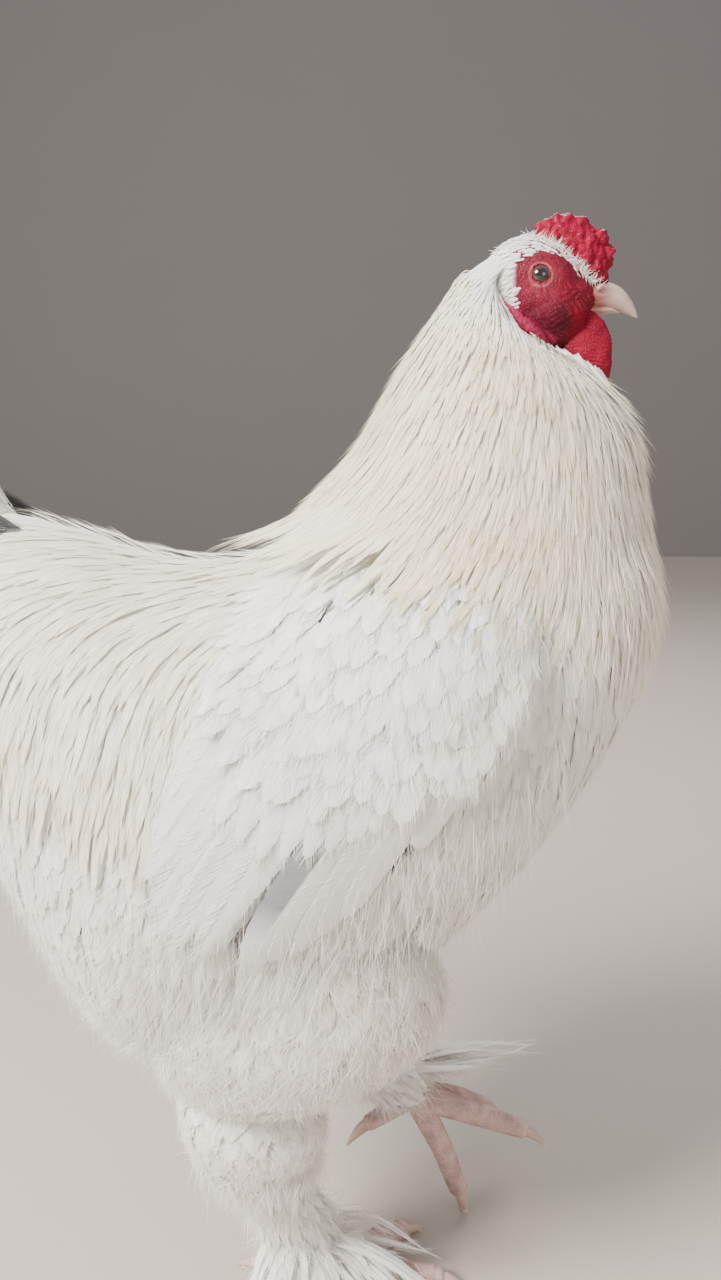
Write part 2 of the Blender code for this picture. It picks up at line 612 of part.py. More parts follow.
def side_block(outline, low, high, grow=0.0):
    """The outline in x and z as a block from y = low to y = high."""
    curve = bpy.data.curves.new("block", "CURVE")
    curve.dimensions = "2D"
    curve.fill_mode = "BOTH"
    curve.extrude = (high - low) / 2
    curve.offset = grow
    spline = curve.splines.new("BEZIER")
    spline.bezier_points.add(len(outline) - 1)
    for point, (x, z) in zip(spline.bezier_points, outline):
        point.co = (x, z, 0)
        point.handle_left_type = point.handle_right_type = "AUTO"
    spline.use_cyclic_u = True
    spline.resolution_u = 2
    flat = bpy.data.objects.new("block", curve)
    bpy.context.scene.collection.objects.link(flat)
    bpy.context.view_layer.update()
    mesh = bpy.data.meshes.new_from_object(flat.evaluated_get(bpy.context.evaluated_depsgraph_get()))
    bm = bmesh.new()
    bm.from_mesh(mesh)
    bm.transform(Matrix.Translation((0, (low + high) / 2, 0)) @ Matrix.Rotation(math.radians(90), 4, "X"))
    bmesh.ops.remove_doubles(bm, verts=bm.verts, dist=1e-6)
    bpy.data.objects.remove(flat)
    block = object_of(bm, "block")
    block.hide_render = True
    return block


def torso_node(core):
    """The body's core with the saddle feathers and the rear fluff."""
    form = Form(TORSO)
    chance = random.Random(SEED)
    feathers = []
    for table, half_width, rise, shape, thickness in (
        (SADDLE_FEATHERS, SADDLE_HALF_WIDTH, SADDLE_RISE, POINTED, SADDLE_THICKNESS),
        (FLUFF_LOCKS, FLUFF_HALF_WIDTH, FLUFF_RISE, ROUNDED, FLUFF_THICKNESS),
    ):
        for root_row, root_angle, tip_row, tip_angle in table:
            tip_row += chance.uniform(-0.08, 0.08)
            tip_angle += chance.uniform(-2, 2)
            for side in (-1, 1):
                root, tip = (root_row, side * root_angle), (tip_row, side * tip_angle)
                feathers.append(feather_on(form, root, tip, half_width, rise, shape, thickness))
    return combine(core, feathers, "UNION")


def neck_node():
    """The hackle: a core under staggered tiers of pointed feathers whose tips reach the neck's outline."""
    chance = random.Random(SEED)
    form = Form(NECK, HACKLE_DEPTH)
    core = form.solid("neck", steps=1, sides=18)
    feathers = []
    for tier, count in enumerate(HACKLE_TIERS):
        root_row = HACKLE_FIRST + HACKLE_STEP * tier
        row = form.row(root_row + HACKLE_LENGTH / 2)
        girth = math.pi * (row[4] + math.dist(row[0:2], row[2:4]) / 2)
        for i in range(count):
            angle = 360 * (i + 0.5 * (tier % 2)) / count + chance.uniform(-1.0, 1.0)
            if tier == 0 and abs((angle + 180) % 360 - 180) > BARE_THROAT:
                continue
            tip_row = root_row + HACKLE_LENGTH * chance.uniform(0.92, 1.04)
            lean = chance.uniform(-2, 2)
            rise = form.depth(tip_row) - 0.001
            half_width = HACKLE_LAP * girth / (2 * count)
            feathers.append(feather_on(form, (root_row, angle), (tip_row, angle + lean), half_width, rise))
    return combine(core, feathers, "UNION")


def wing_node(torso):
    """The right wing: a smooth shoulder pad, and the flight feathers and coverts rooted in it."""
    bm = bmesh.new()
    bm.from_mesh(torso.data)
    tree = BVHTree.FromBMesh(bm)
    bm.free()

    def over_torso(x, z, height):
        place, normal, _, _ = tree.ray_cast(Vector((x, -0.4, z)), Vector((0, 1, 0)))
        return place + normal * height

    corners = [Vector(point) for point in WING_PAD]
    middle = sum(corners, Vector((0, 0))) / len(corners)
    around = 22
    pad = bmesh.new()
    levels = ((0.36, 0.95), (0.66, 0.78), (0.86, 0.50), (0.97, 0.20))
    rings = []
    for share, height in levels:
        ring = []
        for k in range(around):
            place = k * len(corners) / around
            i = int(place)
            t = place - i
            p = [corners[(i + n) % len(corners)] for n in (-1, 0, 1, 2)]
            edge = 0.5 * (
                2 * p[1] + (p[2] - p[0]) * t + (2 * p[0] - 5 * p[1] + 4 * p[2] - p[3]) * t**2
                + (3 * p[1] - p[0] - 3 * p[2] + p[3]) * t**3
            )
            x, z = middle + (edge - middle) * share
            ring.append(pad.verts.new(over_torso(x, z, WING_PAD_HEIGHT * height)))
        rings.append(ring)
    inner = []
    for vert in rings[-1]:
        x, z = middle + (Vector((vert.co.x, vert.co.z)) - middle) * 0.98
        inner.append(pad.verts.new(over_torso(x, z, -0.003)))
    rings.append(inner)
    top = pad.verts.new(over_torso(middle.x, middle.y, WING_PAD_HEIGHT))
    bottom = pad.verts.new(over_torso(middle.x, middle.y, -0.004))
    for i in range(around):
        j = (i + 1) % around
        pad.faces.new((top, rings[0][i], rings[0][j]))
        pad.faces.new((bottom, inner[i], inner[j]))
        for near, far in zip(rings, rings[1:]):
            pad.faces.new((near[i], near[j], far[j]))
            pad.faces.new((near[i], far[j], far[i]))
    wing = object_of(pad, "wing")
    feathers = []
    for table, roll in ((FLIGHT_FEATHERS, FLIGHT_ROLL), (COVERTS, COVERT_ROLL)):
        for x0, z0, x1, z1, half_width, root_height, tip_height in table:
            centres, normals = [], []
            for share in (*STATIONS, 1.0):
                height = root_height + (tip_height - root_height) * share
                x, z = x0 + (x1 - x0) * share, z0 + (z1 - z0) * share
                centres.append(np.array(over_torso(x, z, height)))
                normals.append(np.array(over_torso(x, z, 1.0) - over_torso(x, z, 0.0)))
            feathers.append(feather(centres, normals, half_width, ROUNDED, roll=roll))
    return combine(wing, feathers, "UNION")


def tail_node():
    """The main tail feathers, spread like a tent, under shorter curved coverts."""
    core = Form(TAIL_CORE).solid("tail", steps=2, sides=14)
    feathers = []
    for side in (-1, 1):
        out = np.array([0.0, side, TAIL_SLANT])
        for table, shape in ((MAIN_TAIL, ROUNDED), (TAIL_COVERTS, POINTED)):
            for rise, tip_x, tip_y, tip_z, bow in table:
                root = np.array([TAIL_ROOT[0], side * 0.010, TAIL_ROOT[1] + rise * 0.6])
                tip = np.array([tip_x, side * tip_y, tip_z])
                centres = [root + (tip - root) * t + out * bow * 4 * t * (1 - t) for t in (*STATIONS, 1.0)]
                feathers.append(feather(centres, [out] * len(centres), TAIL_HALF_WIDTH, shape))
    return combine(core, feathers, "UNION")


def locks_round(form, table, thickness, chance):
    """Locks in tiers round a leg's form."""
    locks = []
    for root_row, tip_row, count, first, half_width in table:
        for i in range(count):
            angle = first + 360 * i / count
            tip = (tip_row + chance.uniform(-0.15, 0.15), angle + chance.uniform(-4, 4))
            root = (root_row, angle)
            locks.append(feather_on(form, root, tip, half_width, LEG_LOCK_RISE, ROUNDED, thickness))
    return locks


def leg_nodes(side, thigh_rows, shank_rows, toes, foot_feathers, torso_cut):
    """One leg's thigh, feathered shank, toes and claws."""
    chance = random.Random(SEED)
    thigh_form, shank_form = Form(thigh_rows), Form(shank_rows)
    thigh, shank = thigh_form.solid("thigh", steps=2, sides=12), shank_form.solid("shank", steps=1, sides=12)
    shank_cut = grown(shank, GAP)
    combine(thigh, locks_round(thigh_form, THIGH_LOCKS, THIGH_LOCK_THICKNESS, chance), "UNION")
    locks = locks_round(shank_form, SHANK_LOCKS, SHANK_LOCK_THICKNESS, chance)
    for x0, y0, z0, x1, y1, z1 in foot_feathers:
        root, tip = np.array([x0, y0, z0]), np.array([x1, y1, z1])
        up = np.array([0.0, 0.0, 1.0])
        centres = [root + (tip - root) * t + up * FOOT_FEATHER_BOW * 4 * t * (1 - t) for t in (*STATIONS, 1.0)]
        locks.append(feather(centres, [up] * len(centres), FOOT_FEATHER_HALF_WIDTH, ROUNDED))
    tubes = [tube("toe_" + toe, line) for toe, line in toes.items()]
    toe_cuts = [grown(piece, GAP) for piece in tubes]
    combine(shank, locks, "UNION")
    cut(shank, *toe_cuts, below_floor(), copy_of(torso_cut))
    pieces = tubes[1:]
    if side == "right":
        pieces.append(ball("pad", (0.0, 0.0, 0.8 * PAD_RADIUS), PAD_RADIUS, 10, 6))
    foot = combine(tubes[0], pieces, "UNION")
    cut(foot, below_floor())
    low, high = (-0.2, -0.03) if side == "right" else (0.03, 0.2)
    cut(thigh, copy_of(torso_cut), shank_cut, side_block(WING_BLOCK, low, high, GAP))
    finished(foot, "foot_" + side, "toe_skin")
    finished(shank, "shank_" + side, "white_feather")
    finished(thigh, "thigh_" + side, "white_feather")
    for toe, line in toes.items():
        nail = claw(line)
        cut(nail, below_floor())
        finished(nail, f"claw_{side}_{toe}", "horn")


def claw(line):
    """A curved claw that starts a gap beyond the end of a toe's line."""
    tip, before = Vector(line[-1][:3]), Vector(line[-2][:3])
    heading = (tip - before).normalized()
    start = tip + heading * (line[-1][3] * 0.6 + GAP)
    side = heading.cross(Vector((0, 0, 1))).normalized()
    rise = side.cross(heading)
    sides = 6
    bm = bmesh.new()
    rings = []
    for share, size in ((0.0, 1.0), (0.55, 0.7), (1.0, 0.22)):
        centre = start + heading * CLAW_LENGTH * share - Vector((0, 0, CLAW_DROOP * share**2))
        rings.append([
            bm.verts.new(centre + CLAW_RADIUS * size * (math.cos(a) * rise + 0.8 * math.sin(a) * side))
            for a in (2 * math.pi * k / sides for k in range(sides))
        ])
    for near, far in zip(rings, rings[1:]):
        for i in range(sides):
            j = (i + 1) % sides
            bm.faces.new((near[i], near[j], far[j], far[i]))
    bm.faces.new(rings[0])
    bm.faces.new(rings[-1])
    return object_of(bm, "claw")


def comb_node():
    """The low comb with its three rows of points."""
    form = Form(COMB)
    comb = form.solid("comb", steps=1, sides=10)
    right = [(row, -angle, height, radius) for row, angle, height, radius in COMB_SIDES]
    table = (*COMB_MIDDLE, *COMB_SIDES, *right)
    points = [
        spike(form.point(row, angle), form.normal(row, angle), height, radius)
        for row, angle, height, radius in table
    ]
    return combine(comb, points, "UNION")


def ridged(name, table, rows):
    """A lobe of bare skin with folds across its outer side."""
    form = Form(table)
    body = form.solid(name, steps=2, sides=8)
    folds = []
    for row in rows:
        line = [(*form.point(row, angle), FOLD_RADIUS) for angle in (-145, -90, -35)]
        folds.append(tube("fold", line, sides=4))
    return combine(body, folds, "UNION")


def head_nodes(head, neck_cut):
    """Comb, beak, wattles, ear lobes and eyes, and the head cut to hold the eyes."""
    head_cut = grown(head, GAP)
    comb_cut = grown(Form(COMB).solid("comb_plain", steps=2, sides=12), GAP, keep=False)
    comb = comb_node()
    cut(comb, copy_of(head_cut))
    finished(comb, "comb", "red_skin")
    upper = Form(UPPER_BEAK).solid("beak_upper", steps=2, sides=10)
    lower = Form(LOWER_BEAK).solid("beak_lower", steps=2, sides=10)
    upper_cut, lower_cut = grown(upper, GAP), grown(lower, GAP)
    cut(lower, copy_of(head_cut), copy_of(upper_cut))
    nostrils = []
    for y in (-NOSTRIL[1], NOSTRIL[1]):
        hole = ball("nostril", (NOSTRIL[0], y, NOSTRIL[2]), NOSTRIL_RADIUS, 6, 4)
        hole.hide_render = True
        nostrils.append(hole)
    cut(upper, copy_of(head_cut), comb_cut, *nostrils)
    finished(upper, "beak_upper", "horn")
    finished(lower, "beak_lower", "horn")
    wattle = ridged("wattle", WATTLE, (1.9, 2.8))
    cut(wattle, copy_of(head_cut), lower_cut, upper_cut, copy_of(neck_cut), middle_block())
    lobe = ridged("lobe", EAR_LOBE, (2.1,))
    cut(lobe, copy_of(head_cut), copy_of(neck_cut))
    for piece, name in ((wattle, "wattle"), (lobe, "ear_lobe")):
        finished(piece, name + "_right", "red_skin")
        finished(mirrored(piece, name), name + "_left", "red_skin")
    eyes = []
    rings = []
    for name, y in (("right", -EYE_CENTRE[1]), ("left", EYE_CENTRE[1])):
        eye = ball("eye_" + name, (EYE_CENTRE[0], y, EYE_CENTRE[2]), EYE_RADIUS)
        eyes.append(grown(eye, GAP))
        finished(eye, "eye_" + name, "eye")
        side = 1 if y > 0 else -1
        ring = []
        for k in range(12):
            a = 2 * math.pi * k / 12
            x = EYE_CENTRE[0] + LID_RING * LID_LONGER * math.cos(a)
            ring.append((x, y + side * LID_REACH, EYE_CENTRE[2] + LID_RING * math.sin(a)))
        rings.append(lid_ring(ring, side))
    combine(head, rings, "UNION")
    cut(head, *eyes)
    finished(head, "head", "red_skin")
    bpy.data.objects.remove(head_cut)


def lid_ring(points, side):
    """The rim of the eyelids as a closed ring round the eye."""
    bm = bmesh.new()
    middle = sum((Vector(point) for point in points), Vector()) / len(points)
    rings = []
    for point in points:
        point = Vector(point)
        out = (point - middle).normalized()
        face = Vector((0, side, 0))
        rings.append([
            bm.verts.new(point + LID_THICKNESS * (math.cos(a) * out + math.sin(a) * face))
            for a in (math.radians(45 + 72 * k) for k in range(5))
        ])
    for i, near in enumerate(rings):
        far = rings[(i + 1) % len(rings)]
        for k in range(5):
            m = (k + 1) % 5
            bm.faces.new((near[k], near[m], far[m], far[k]))
    return object_of(bm, "lid")


def middle_block():
    """Keeps the right wattle clear of its mirror."""
    bm = bmesh.new()
    bmesh.ops.create_cube(bm, size=1.0)
    bmesh.ops.translate(bm, vec=(0, 0.5 - GAP / 2, 0.6), verts=bm.verts)
    block = object_of(bm, "middle")
    block.hide_render = True
    return block


def build():
    clear_scene()
    torso = Form(TORSO).solid("torso", steps=2, sides=24)
    torso_cut = grown(torso, GAP)
    neck_cut = grown(Form(NECK).solid("neck_plain", steps=2, sides=18), GAP, keep=False)
    head = Form(HEAD).solid("head", steps=2, sides=18)

    wing = wing_node(torso)
    cut(wing, copy_of(torso_cut), copy_of(neck_cut))
    finished(wing, "wing_right", "white_feather")
    finished(mirrored(wing, "wing"), "wing_left", "white_feather")

    neck = neck_node()
    lobe_cuts = []
    for table in (EAR_LOBE, WATTLE):
        lobe_cuts.append(grown(Form(table).solid("lobe", steps=2, sides=8), FOLD_RADIUS + GAP, keep=False))
        lobe_cuts.append(mirrored(lobe_cuts[-1], "lobe"))
    cut(neck, copy_of(torso_cut), grown(head, GAP), *lobe_cuts)
    finished(neck, "neck", "cream_feather")

    tail = tail_node()
    cut(tail, copy_of(torso_cut))
    finished(tail, "tail", "dark_feather")

    leg_nodes("right", RIGHT_THIGH, RIGHT_SHANK, RIGHT_TOES, RIGHT_FOOT_FEATHERS, torso_cut)
    leg_nodes("left", LEFT_THIGH, LEFT_SHANK, LEFT_TOES, LEFT_FOOT_FEATHERS, torso_cut)
    head_nodes(head, neck_cut)
    finished(torso_node(torso), "torso", "white_feather")
    for spare in (torso_cut, neck_cut):
        bpy.data.objects.remove(spare)


build()
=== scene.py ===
"""The looks of a life-size Brahma rooster: one skin, its plumage laid over it, and its eyes, beak and claws.

Metres, +Z up, +X the way the bird faces, +Y its left side, with the origin under the standing foot. The tables of
the body's forms are the part's own. A place along a form is counted in its rows, and an angle round it in degrees
from its upper side, with 90 on the left.
"""

import math

import bmesh
import bpy
import numpy as np
from mathutils import Matrix, Vector, noise
from mathutils.bvhtree import BVHTree


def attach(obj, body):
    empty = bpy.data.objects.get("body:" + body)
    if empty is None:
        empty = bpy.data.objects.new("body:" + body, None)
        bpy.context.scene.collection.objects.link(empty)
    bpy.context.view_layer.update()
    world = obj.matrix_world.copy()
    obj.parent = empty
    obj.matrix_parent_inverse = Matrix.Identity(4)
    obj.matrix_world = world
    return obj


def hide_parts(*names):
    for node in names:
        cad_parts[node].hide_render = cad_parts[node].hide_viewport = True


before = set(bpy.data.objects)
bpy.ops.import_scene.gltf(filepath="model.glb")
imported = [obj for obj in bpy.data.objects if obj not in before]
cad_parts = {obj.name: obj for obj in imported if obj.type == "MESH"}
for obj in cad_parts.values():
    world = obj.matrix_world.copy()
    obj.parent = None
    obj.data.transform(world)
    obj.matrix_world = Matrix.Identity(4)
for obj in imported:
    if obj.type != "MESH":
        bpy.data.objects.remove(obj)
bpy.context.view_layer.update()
SEED = 11
MM = 0.001

# Forms: upper x, upper z, lower x, lower z, half width, y of the middle.
TORSO = (
    (0.200, 0.472, 0.200, 0.472, 0.000, 0.0),
    (0.188, 0.532, 0.184, 0.412, 0.060, 0.0),
    (0.150, 0.560, 0.146, 0.347, 0.096, 0.0),
    (0.095, 0.554, 0.095, 0.284, 0.113, 0.0),
    (0.035, 0.528, 0.035, 0.237, 0.119, 0.0),
    (-0.030, 0.504, -0.030, 0.206, 0.119, 0.0),
    (-0.090, 0.503, -0.086, 0.186, 0.113, 0.0),
    (-0.146, 0.520, -0.134, 0.200, 0.096, 0.0),
    (-0.190, 0.528, -0.176, 0.266, 0.074, 0.0),
    (-0.222, 0.496, -0.208, 0.344, 0.048, 0.0),
    (-0.234, 0.420, -0.234, 0.420, 0.000, 0.0),
)
NECK = (
    (0.106, 0.660, 0.106, 0.660, 0.000, 0.0),
    (0.086, 0.668, 0.127, 0.617, 0.021, 0.0),
    (0.071, 0.647, 0.164, 0.603, 0.040, 0.0),
    (0.054, 0.622, 0.185, 0.576, 0.058, 0.0),
    (0.038, 0.594, 0.191, 0.545, 0.074, 0.0),
    (0.020, 0.564, 0.196, 0.512, 0.088, 0.0),
    (-0.014, 0.524, 0.200, 0.476, 0.101, 0.0),
    (-0.026, 0.494, 0.180, 0.436, 0.096, 0.0),
    (0.080, 0.400, 0.080, 0.400, 0.000, 0.0),
)
HEAD = (
    (0.094, 0.662, 0.094, 0.662, 0.000, 0.0),
    (0.103, 0.679, 0.100, 0.645, 0.0150, 0.0),
    (0.117, 0.6865, 0.114, 0.630, 0.0195, 0.0),
    (0.133, 0.6845, 0.131, 0.618, 0.0205, 0.0),
    (0.147, 0.675, 0.146, 0.622, 0.0170, 0.0),
    (0.156, 0.663, 0.155, 0.640, 0.0110, 0.0),
    (0.161, 0.6525, 0.161, 0.6525, 0.000, 0.0),
)
COMB = (
    (0.125, 0.686, 0.125, 0.686, 0.000, 0.0),
    (0.130, 0.6925, 0.128, 0.681, 0.0050, 0.0),
    (0.142, 0.6955, 0.137, 0.675, 0.0075, 0.0),
    (0.154, 0.6920, 0.147, 0.666, 0.0085, 0.0),
    (0.1615, 0.6845, 0.153, 0.658, 0.0075, 0.0),
    (0.1660, 0.6740, 0.158, 0.654, 0.0060, 0.0),
    (0.1665, 0.660, 0.1665, 0.660, 0.000, 0.0),
)
UPPER_BEAK = (
    (0.148, 0.654, 0.148, 0.654, 0.000, 0.0),
    (0.156, 0.6610, 0.155, 0.6482, 0.0080, 0.0),
    (0.165, 0.6620, 0.165, 0.6476, 0.0068, 0.0),
    (0.1745, 0.6592, 0.1735, 0.6462, 0.0050, 0.0),
    (0.1815, 0.6515, 0.1795, 0.6440, 0.0027, 0.0),
    (0.185, 0.6425, 0.185, 0.6425, 0.000, 0.0),
)
LOWER_BEAK = (
    (0.148, 0.6445, 0.148, 0.6445, 0.000, 0.0),
    (0.155, 0.6500, 0.155, 0.6420, 0.0064, 0.0),
    (0.164, 0.6490, 0.164, 0.6438, 0.0050, 0.0),
    (0.170, 0.6478, 0.170, 0.6448, 0.0031, 0.0),
    (0.1745, 0.6450, 0.1745, 0.6450, 0.000, 0.0),
)
WATTLE = (
    (0.150, 0.648, 0.150, 0.648, 0.000, -0.0070),
    (0.162, 0.642, 0.144, 0.638, 0.0036, -0.0070),
    (0.1675, 0.633, 0.140, 0.628, 0.0048, -0.0090),
    (0.169, 0.6225, 0.143, 0.6185, 0.0044, -0.0105),
    (0.1685, 0.613, 0.154, 0.612, 0.0032, -0.0110),
    (0.166, 0.6065, 0.166, 0.6065, 0.000, -0.0110),
)
EAR_LOBE = (
    (0.101, 0.650, 0.101, 0.650, 0.000, -0.0150),
    (0.1085, 0.6475, 0.106, 0.641, 0.0034, -0.0190),
    (0.1175, 0.641, 0.114, 0.633, 0.0040, -0.0210),
    (0.126, 0.634, 0.1235, 0.6275, 0.0034, -0.0205),
    (0.132, 0.6265, 0.132, 0.6265, 0.000, -0.0180),
)
RIGHT_THIGH = (
    (-0.006, 0.325, -0.006, 0.325, 0.000, -0.060),
    (0.056, 0.300, -0.066, 0.296, 0.038, -0.066),
    (0.076, 0.252, -0.096, 0.246, 0.050, -0.064),
    (0.062, 0.212, -0.096, 0.200, 0.048, -0.057),
    (0.026, 0.188, -0.076, 0.176, 0.036, -0.050),
    (-0.028, 0.170, -0.028, 0.170, 0.000, -0.045),
)
LEFT_THIGH = (
    (0.014, 0.325, 0.014, 0.325, 0.000, 0.060),
    (0.078, 0.300, -0.052, 0.296, 0.038, 0.066),
    (0.096, 0.256, -0.070, 0.246, 0.050, 0.067),
    (0.081, 0.220, -0.074, 0.200, 0.046, 0.068),
    (0.044, 0.196, -0.056, 0.172, 0.034, 0.068),
    (-0.010, 0.158, -0.010, 0.158, 0.000, 0.068),
)
RIGHT_SHANK = (
    (-0.045, 0.186, -0.045, 0.186, 0.000, -0.038),
    (-0.009, 0.178, -0.082, 0.179, 0.031, -0.038),
    (0.005, 0.150, -0.091, 0.155, 0.041, -0.037),
    (0.000, 0.123, -0.080, 0.123, 0.034, -0.034),
    (-0.010, 0.099, -0.056, 0.097, 0.022, -0.029),
    (0.001, 0.073, -0.045, 0.070, 0.018, -0.021),
    (0.010, 0.044, -0.034, 0.040, 0.016, -0.012),
    (-0.008, 0.019, -0.008, 0.019, 0.000, -0.006),
)
LEFT_SHANK = (
    (-0.040, 0.182, -0.040, 0.182, 0.000, 0.070),
    (-0.001, 0.193, -0.045, 0.149, 0.031, 0.070),
    (0.026, 0.177, -0.024, 0.123, 0.037, 0.071),
    (0.042, 0.153, 0.002, 0.107, 0.031, 0.073),
    (0.055, 0.128, 0.027, 0.096, 0.020, 0.075),
    (0.070, 0.110, 0.046, 0.084, 0.016, 0.077),
    (0.072, 0.086, 0.072, 0.086, 0.000, 0.079),
)
TAIL_CORE = (
    (-0.150, 0.490, -0.150, 0.490, 0.000, 0.0),
    (-0.185, 0.540, -0.205, 0.484, 0.022, 0.0),
    (-0.212, 0.566, -0.246, 0.496, 0.028, 0.0),
    (-0.240, 0.578, -0.272, 0.514, 0.022, 0.0),
    (-0.268, 0.556, -0.268, 0.556, 0.000, 0.0),
)
# Toes from the palm out: x, y, z, radius.
RIGHT_TOES = {
    "inner": ((0.000, 0.004, 0.013, 0.0095), (0.028, 0.022, 0.009, 0.0080), (0.054, 0.038, 0.0072, 0.0070)),
    "middle": ((0.000, 0.000, 0.013, 0.0100), (0.040, -0.003, 0.009, 0.0085), (0.078, -0.007, 0.0072, 0.0070)),
    "outer": ((0.000, -0.004, 0.013, 0.0095), (0.028, -0.024, 0.009, 0.0080), (0.052, -0.044, 0.0072, 0.0068)),
    "hind": ((0.000, 0.002, 0.015, 0.0090), (-0.024, 0.006, 0.009, 0.0070), (-0.042, 0.009, 0.0066, 0.0060)),
}
LEFT_TOES = {
    "inner": ((0.066, 0.078, 0.088, 0.0095), (0.086, 0.072, 0.050, 0.0080), (0.098, 0.068, 0.019, 0.0070)),
    "middle": ((0.066, 0.080, 0.088, 0.0100), (0.110, 0.080, 0.073, 0.0085), (0.146, 0.080, 0.060, 0.0070)),
    "outer": ((0.066, 0.083, 0.088, 0.0095), (0.098, 0.102, 0.072, 0.0080), (0.124, 0.118, 0.052, 0.0068)),
    "hind": ((0.066, 0.080, 0.090, 0.0090), (0.046, 0.078, 0.076, 0.0070), (0.032, 0.076, 0.068, 0.0060)),
}
CLAW_LENGTH, CLAW_RADIUS, CLAW_DROOP = 0.016, 0.0046, 0.008
EYE_CENTRE, EYE_RADIUS = (0.1254, 0.0140, 0.664), 0.0070
WING_PAD = (
    (0.055, 0.520), (0.098, 0.512), (0.121, 0.486), (0.121, 0.456), (0.103, 0.425), (0.074, 0.404),
    (0.036, 0.408), (0.000, 0.420), (-0.030, 0.440), (-0.034, 0.470), (-0.012, 0.496), (0.018, 0.510),
)
WING_PAD_HEIGHT = 0.017

# Feathers over the toes: root x, y and z, tip x, y and z.
RIGHT_FOOT_FEATHERS = (
    (0.002, -0.014, 0.046, 0.088, -0.026, 0.006), (0.000, -0.018, 0.044, 0.078, -0.054, 0.005),
    (-0.004, -0.020, 0.044, 0.056, -0.076, 0.005), (-0.008, -0.022, 0.046, 0.028, -0.088, 0.005),
    (-0.014, -0.022, 0.048, -0.004, -0.090, 0.006), (-0.020, -0.020, 0.050, -0.034, -0.076, 0.008),
    (-0.024, -0.014, 0.052, -0.058, -0.048, 0.012), (0.002, -0.006, 0.046, 0.082, 0.006, 0.010),
)
LEFT_FOOT_FEATHERS = (
    (0.056, 0.080, 0.110, 0.163, 0.092, 0.118), (0.056, 0.084, 0.106, 0.150, 0.124, 0.098),
    (0.054, 0.088, 0.104, 0.128, 0.146, 0.078), (0.050, 0.090, 0.104, 0.094, 0.158, 0.064),
    (0.044, 0.092, 0.106, 0.058, 0.156, 0.062), (0.038, 0.090, 0.110, 0.026, 0.140, 0.070),
    (0.034, 0.084, 0.116, 0.004, 0.112, 0.084),
)
# Feathers of the wing: root x and z, tip x and z, half width, height of the root, height of the tip.
FLIGHT_FEATHERS = (
    (0.080, 0.424, 0.016, 0.328, 0.0110, 0.0050, 0.0030), (0.074, 0.428, -0.010, 0.307, 0.0125, 0.0058, 0.0042),
    (0.060, 0.433, -0.036, 0.298, 0.0135, 0.0066, 0.0058), (0.038, 0.440, -0.060, 0.306, 0.0135, 0.0072, 0.0064),
    (0.018, 0.448, -0.080, 0.320, 0.0135, 0.0078, 0.0068), (0.002, 0.457, -0.084, 0.350, 0.0130, 0.0080, 0.0070),
    (-0.007, 0.466, -0.075, 0.382, 0.0125, 0.0080, 0.0068), (-0.010, 0.474, -0.063, 0.412, 0.0115, 0.0078, 0.0064),
    (-0.008, 0.480, -0.056, 0.441, 0.0105, 0.0072, 0.0060), (0.098, 0.446, 0.053, 0.367, 0.0095, 0.0070, 0.0056),
    (0.104, 0.460, 0.079, 0.398, 0.0095, 0.0080, 0.0068),
)
COVERTS = (
    (0.070, 0.440, 0.042, 0.382, 0.0105, 0.0098, 0.0094), (0.050, 0.437, 0.019, 0.372, 0.0105, 0.0103, 0.0102),
    (0.030, 0.437, -0.003, 0.364, 0.0105, 0.0105, 0.0106), (0.010, 0.442, -0.027, 0.363, 0.0105, 0.0101, 0.0106),
    (-0.007, 0.451, -0.048, 0.379, 0.0105, 0.0094, 0.0102),
    (0.074, 0.450, 0.051, 0.400, 0.0105, 0.0125, 0.0127), (0.052, 0.450, 0.023, 0.397, 0.0105, 0.0131, 0.0136),
    (0.028, 0.454, -0.006, 0.398, 0.0105, 0.0132, 0.0139), (0.006, 0.461, -0.033, 0.410, 0.0105, 0.0125, 0.0135),
)
# Two broad feathers at the wing's upper rear, the same way.
SCAPULARS = ((0.016, 0.496, -0.052, 0.462, 0.0066, 0.0085, 0.0068), (0.024, 0.512, -0.040, 0.488, 0.0060, 0.0075, 0.0045))
WING_BLOCK = (
    (0.060, 0.522), (0.105, 0.512), (0.125, 0.480), (0.121, 0.444), (0.096, 0.404), (0.058, 0.364),
    (0.012, 0.320), (-0.032, 0.294), (-0.066, 0.298), (-0.090, 0.325), (-0.082, 0.380), (-0.060, 0.446),
    (-0.030, 0.490), (0.020, 0.514),
)
# Tail feathers of each side from the top down: root height, tip x, y and z, bow.
TAIL_ROOT = (-0.205, 0.512)
MAIN_TAIL = (
    (0.046, -0.332, 0.009, 0.664, 0.004), (0.037, -0.357, 0.027, 0.644, 0.006), (0.027, -0.371, 0.044, 0.616, 0.007),
    (0.017, -0.369, 0.058, 0.584, 0.008), (0.006, -0.356, 0.068, 0.552, 0.008),
)
TAIL_COVERTS = (
    (0.051, -0.300, 0.024, 0.640, 0.012), (0.039, -0.318, 0.051, 0.604, 0.014), (0.025, -0.317, 0.069, 0.568, 0.015),
    (0.009, -0.300, 0.076, 0.532, 0.013),
)
SIDE_TAIL = (
    (0.014, -0.262, 0.036, 0.566, 0.004), (0.000, -0.268, 0.050, 0.538, 0.005), (-0.016, -0.262, 0.058, 0.510, 0.005),
)
TAIL_SLANT = 0.25


# Forms.

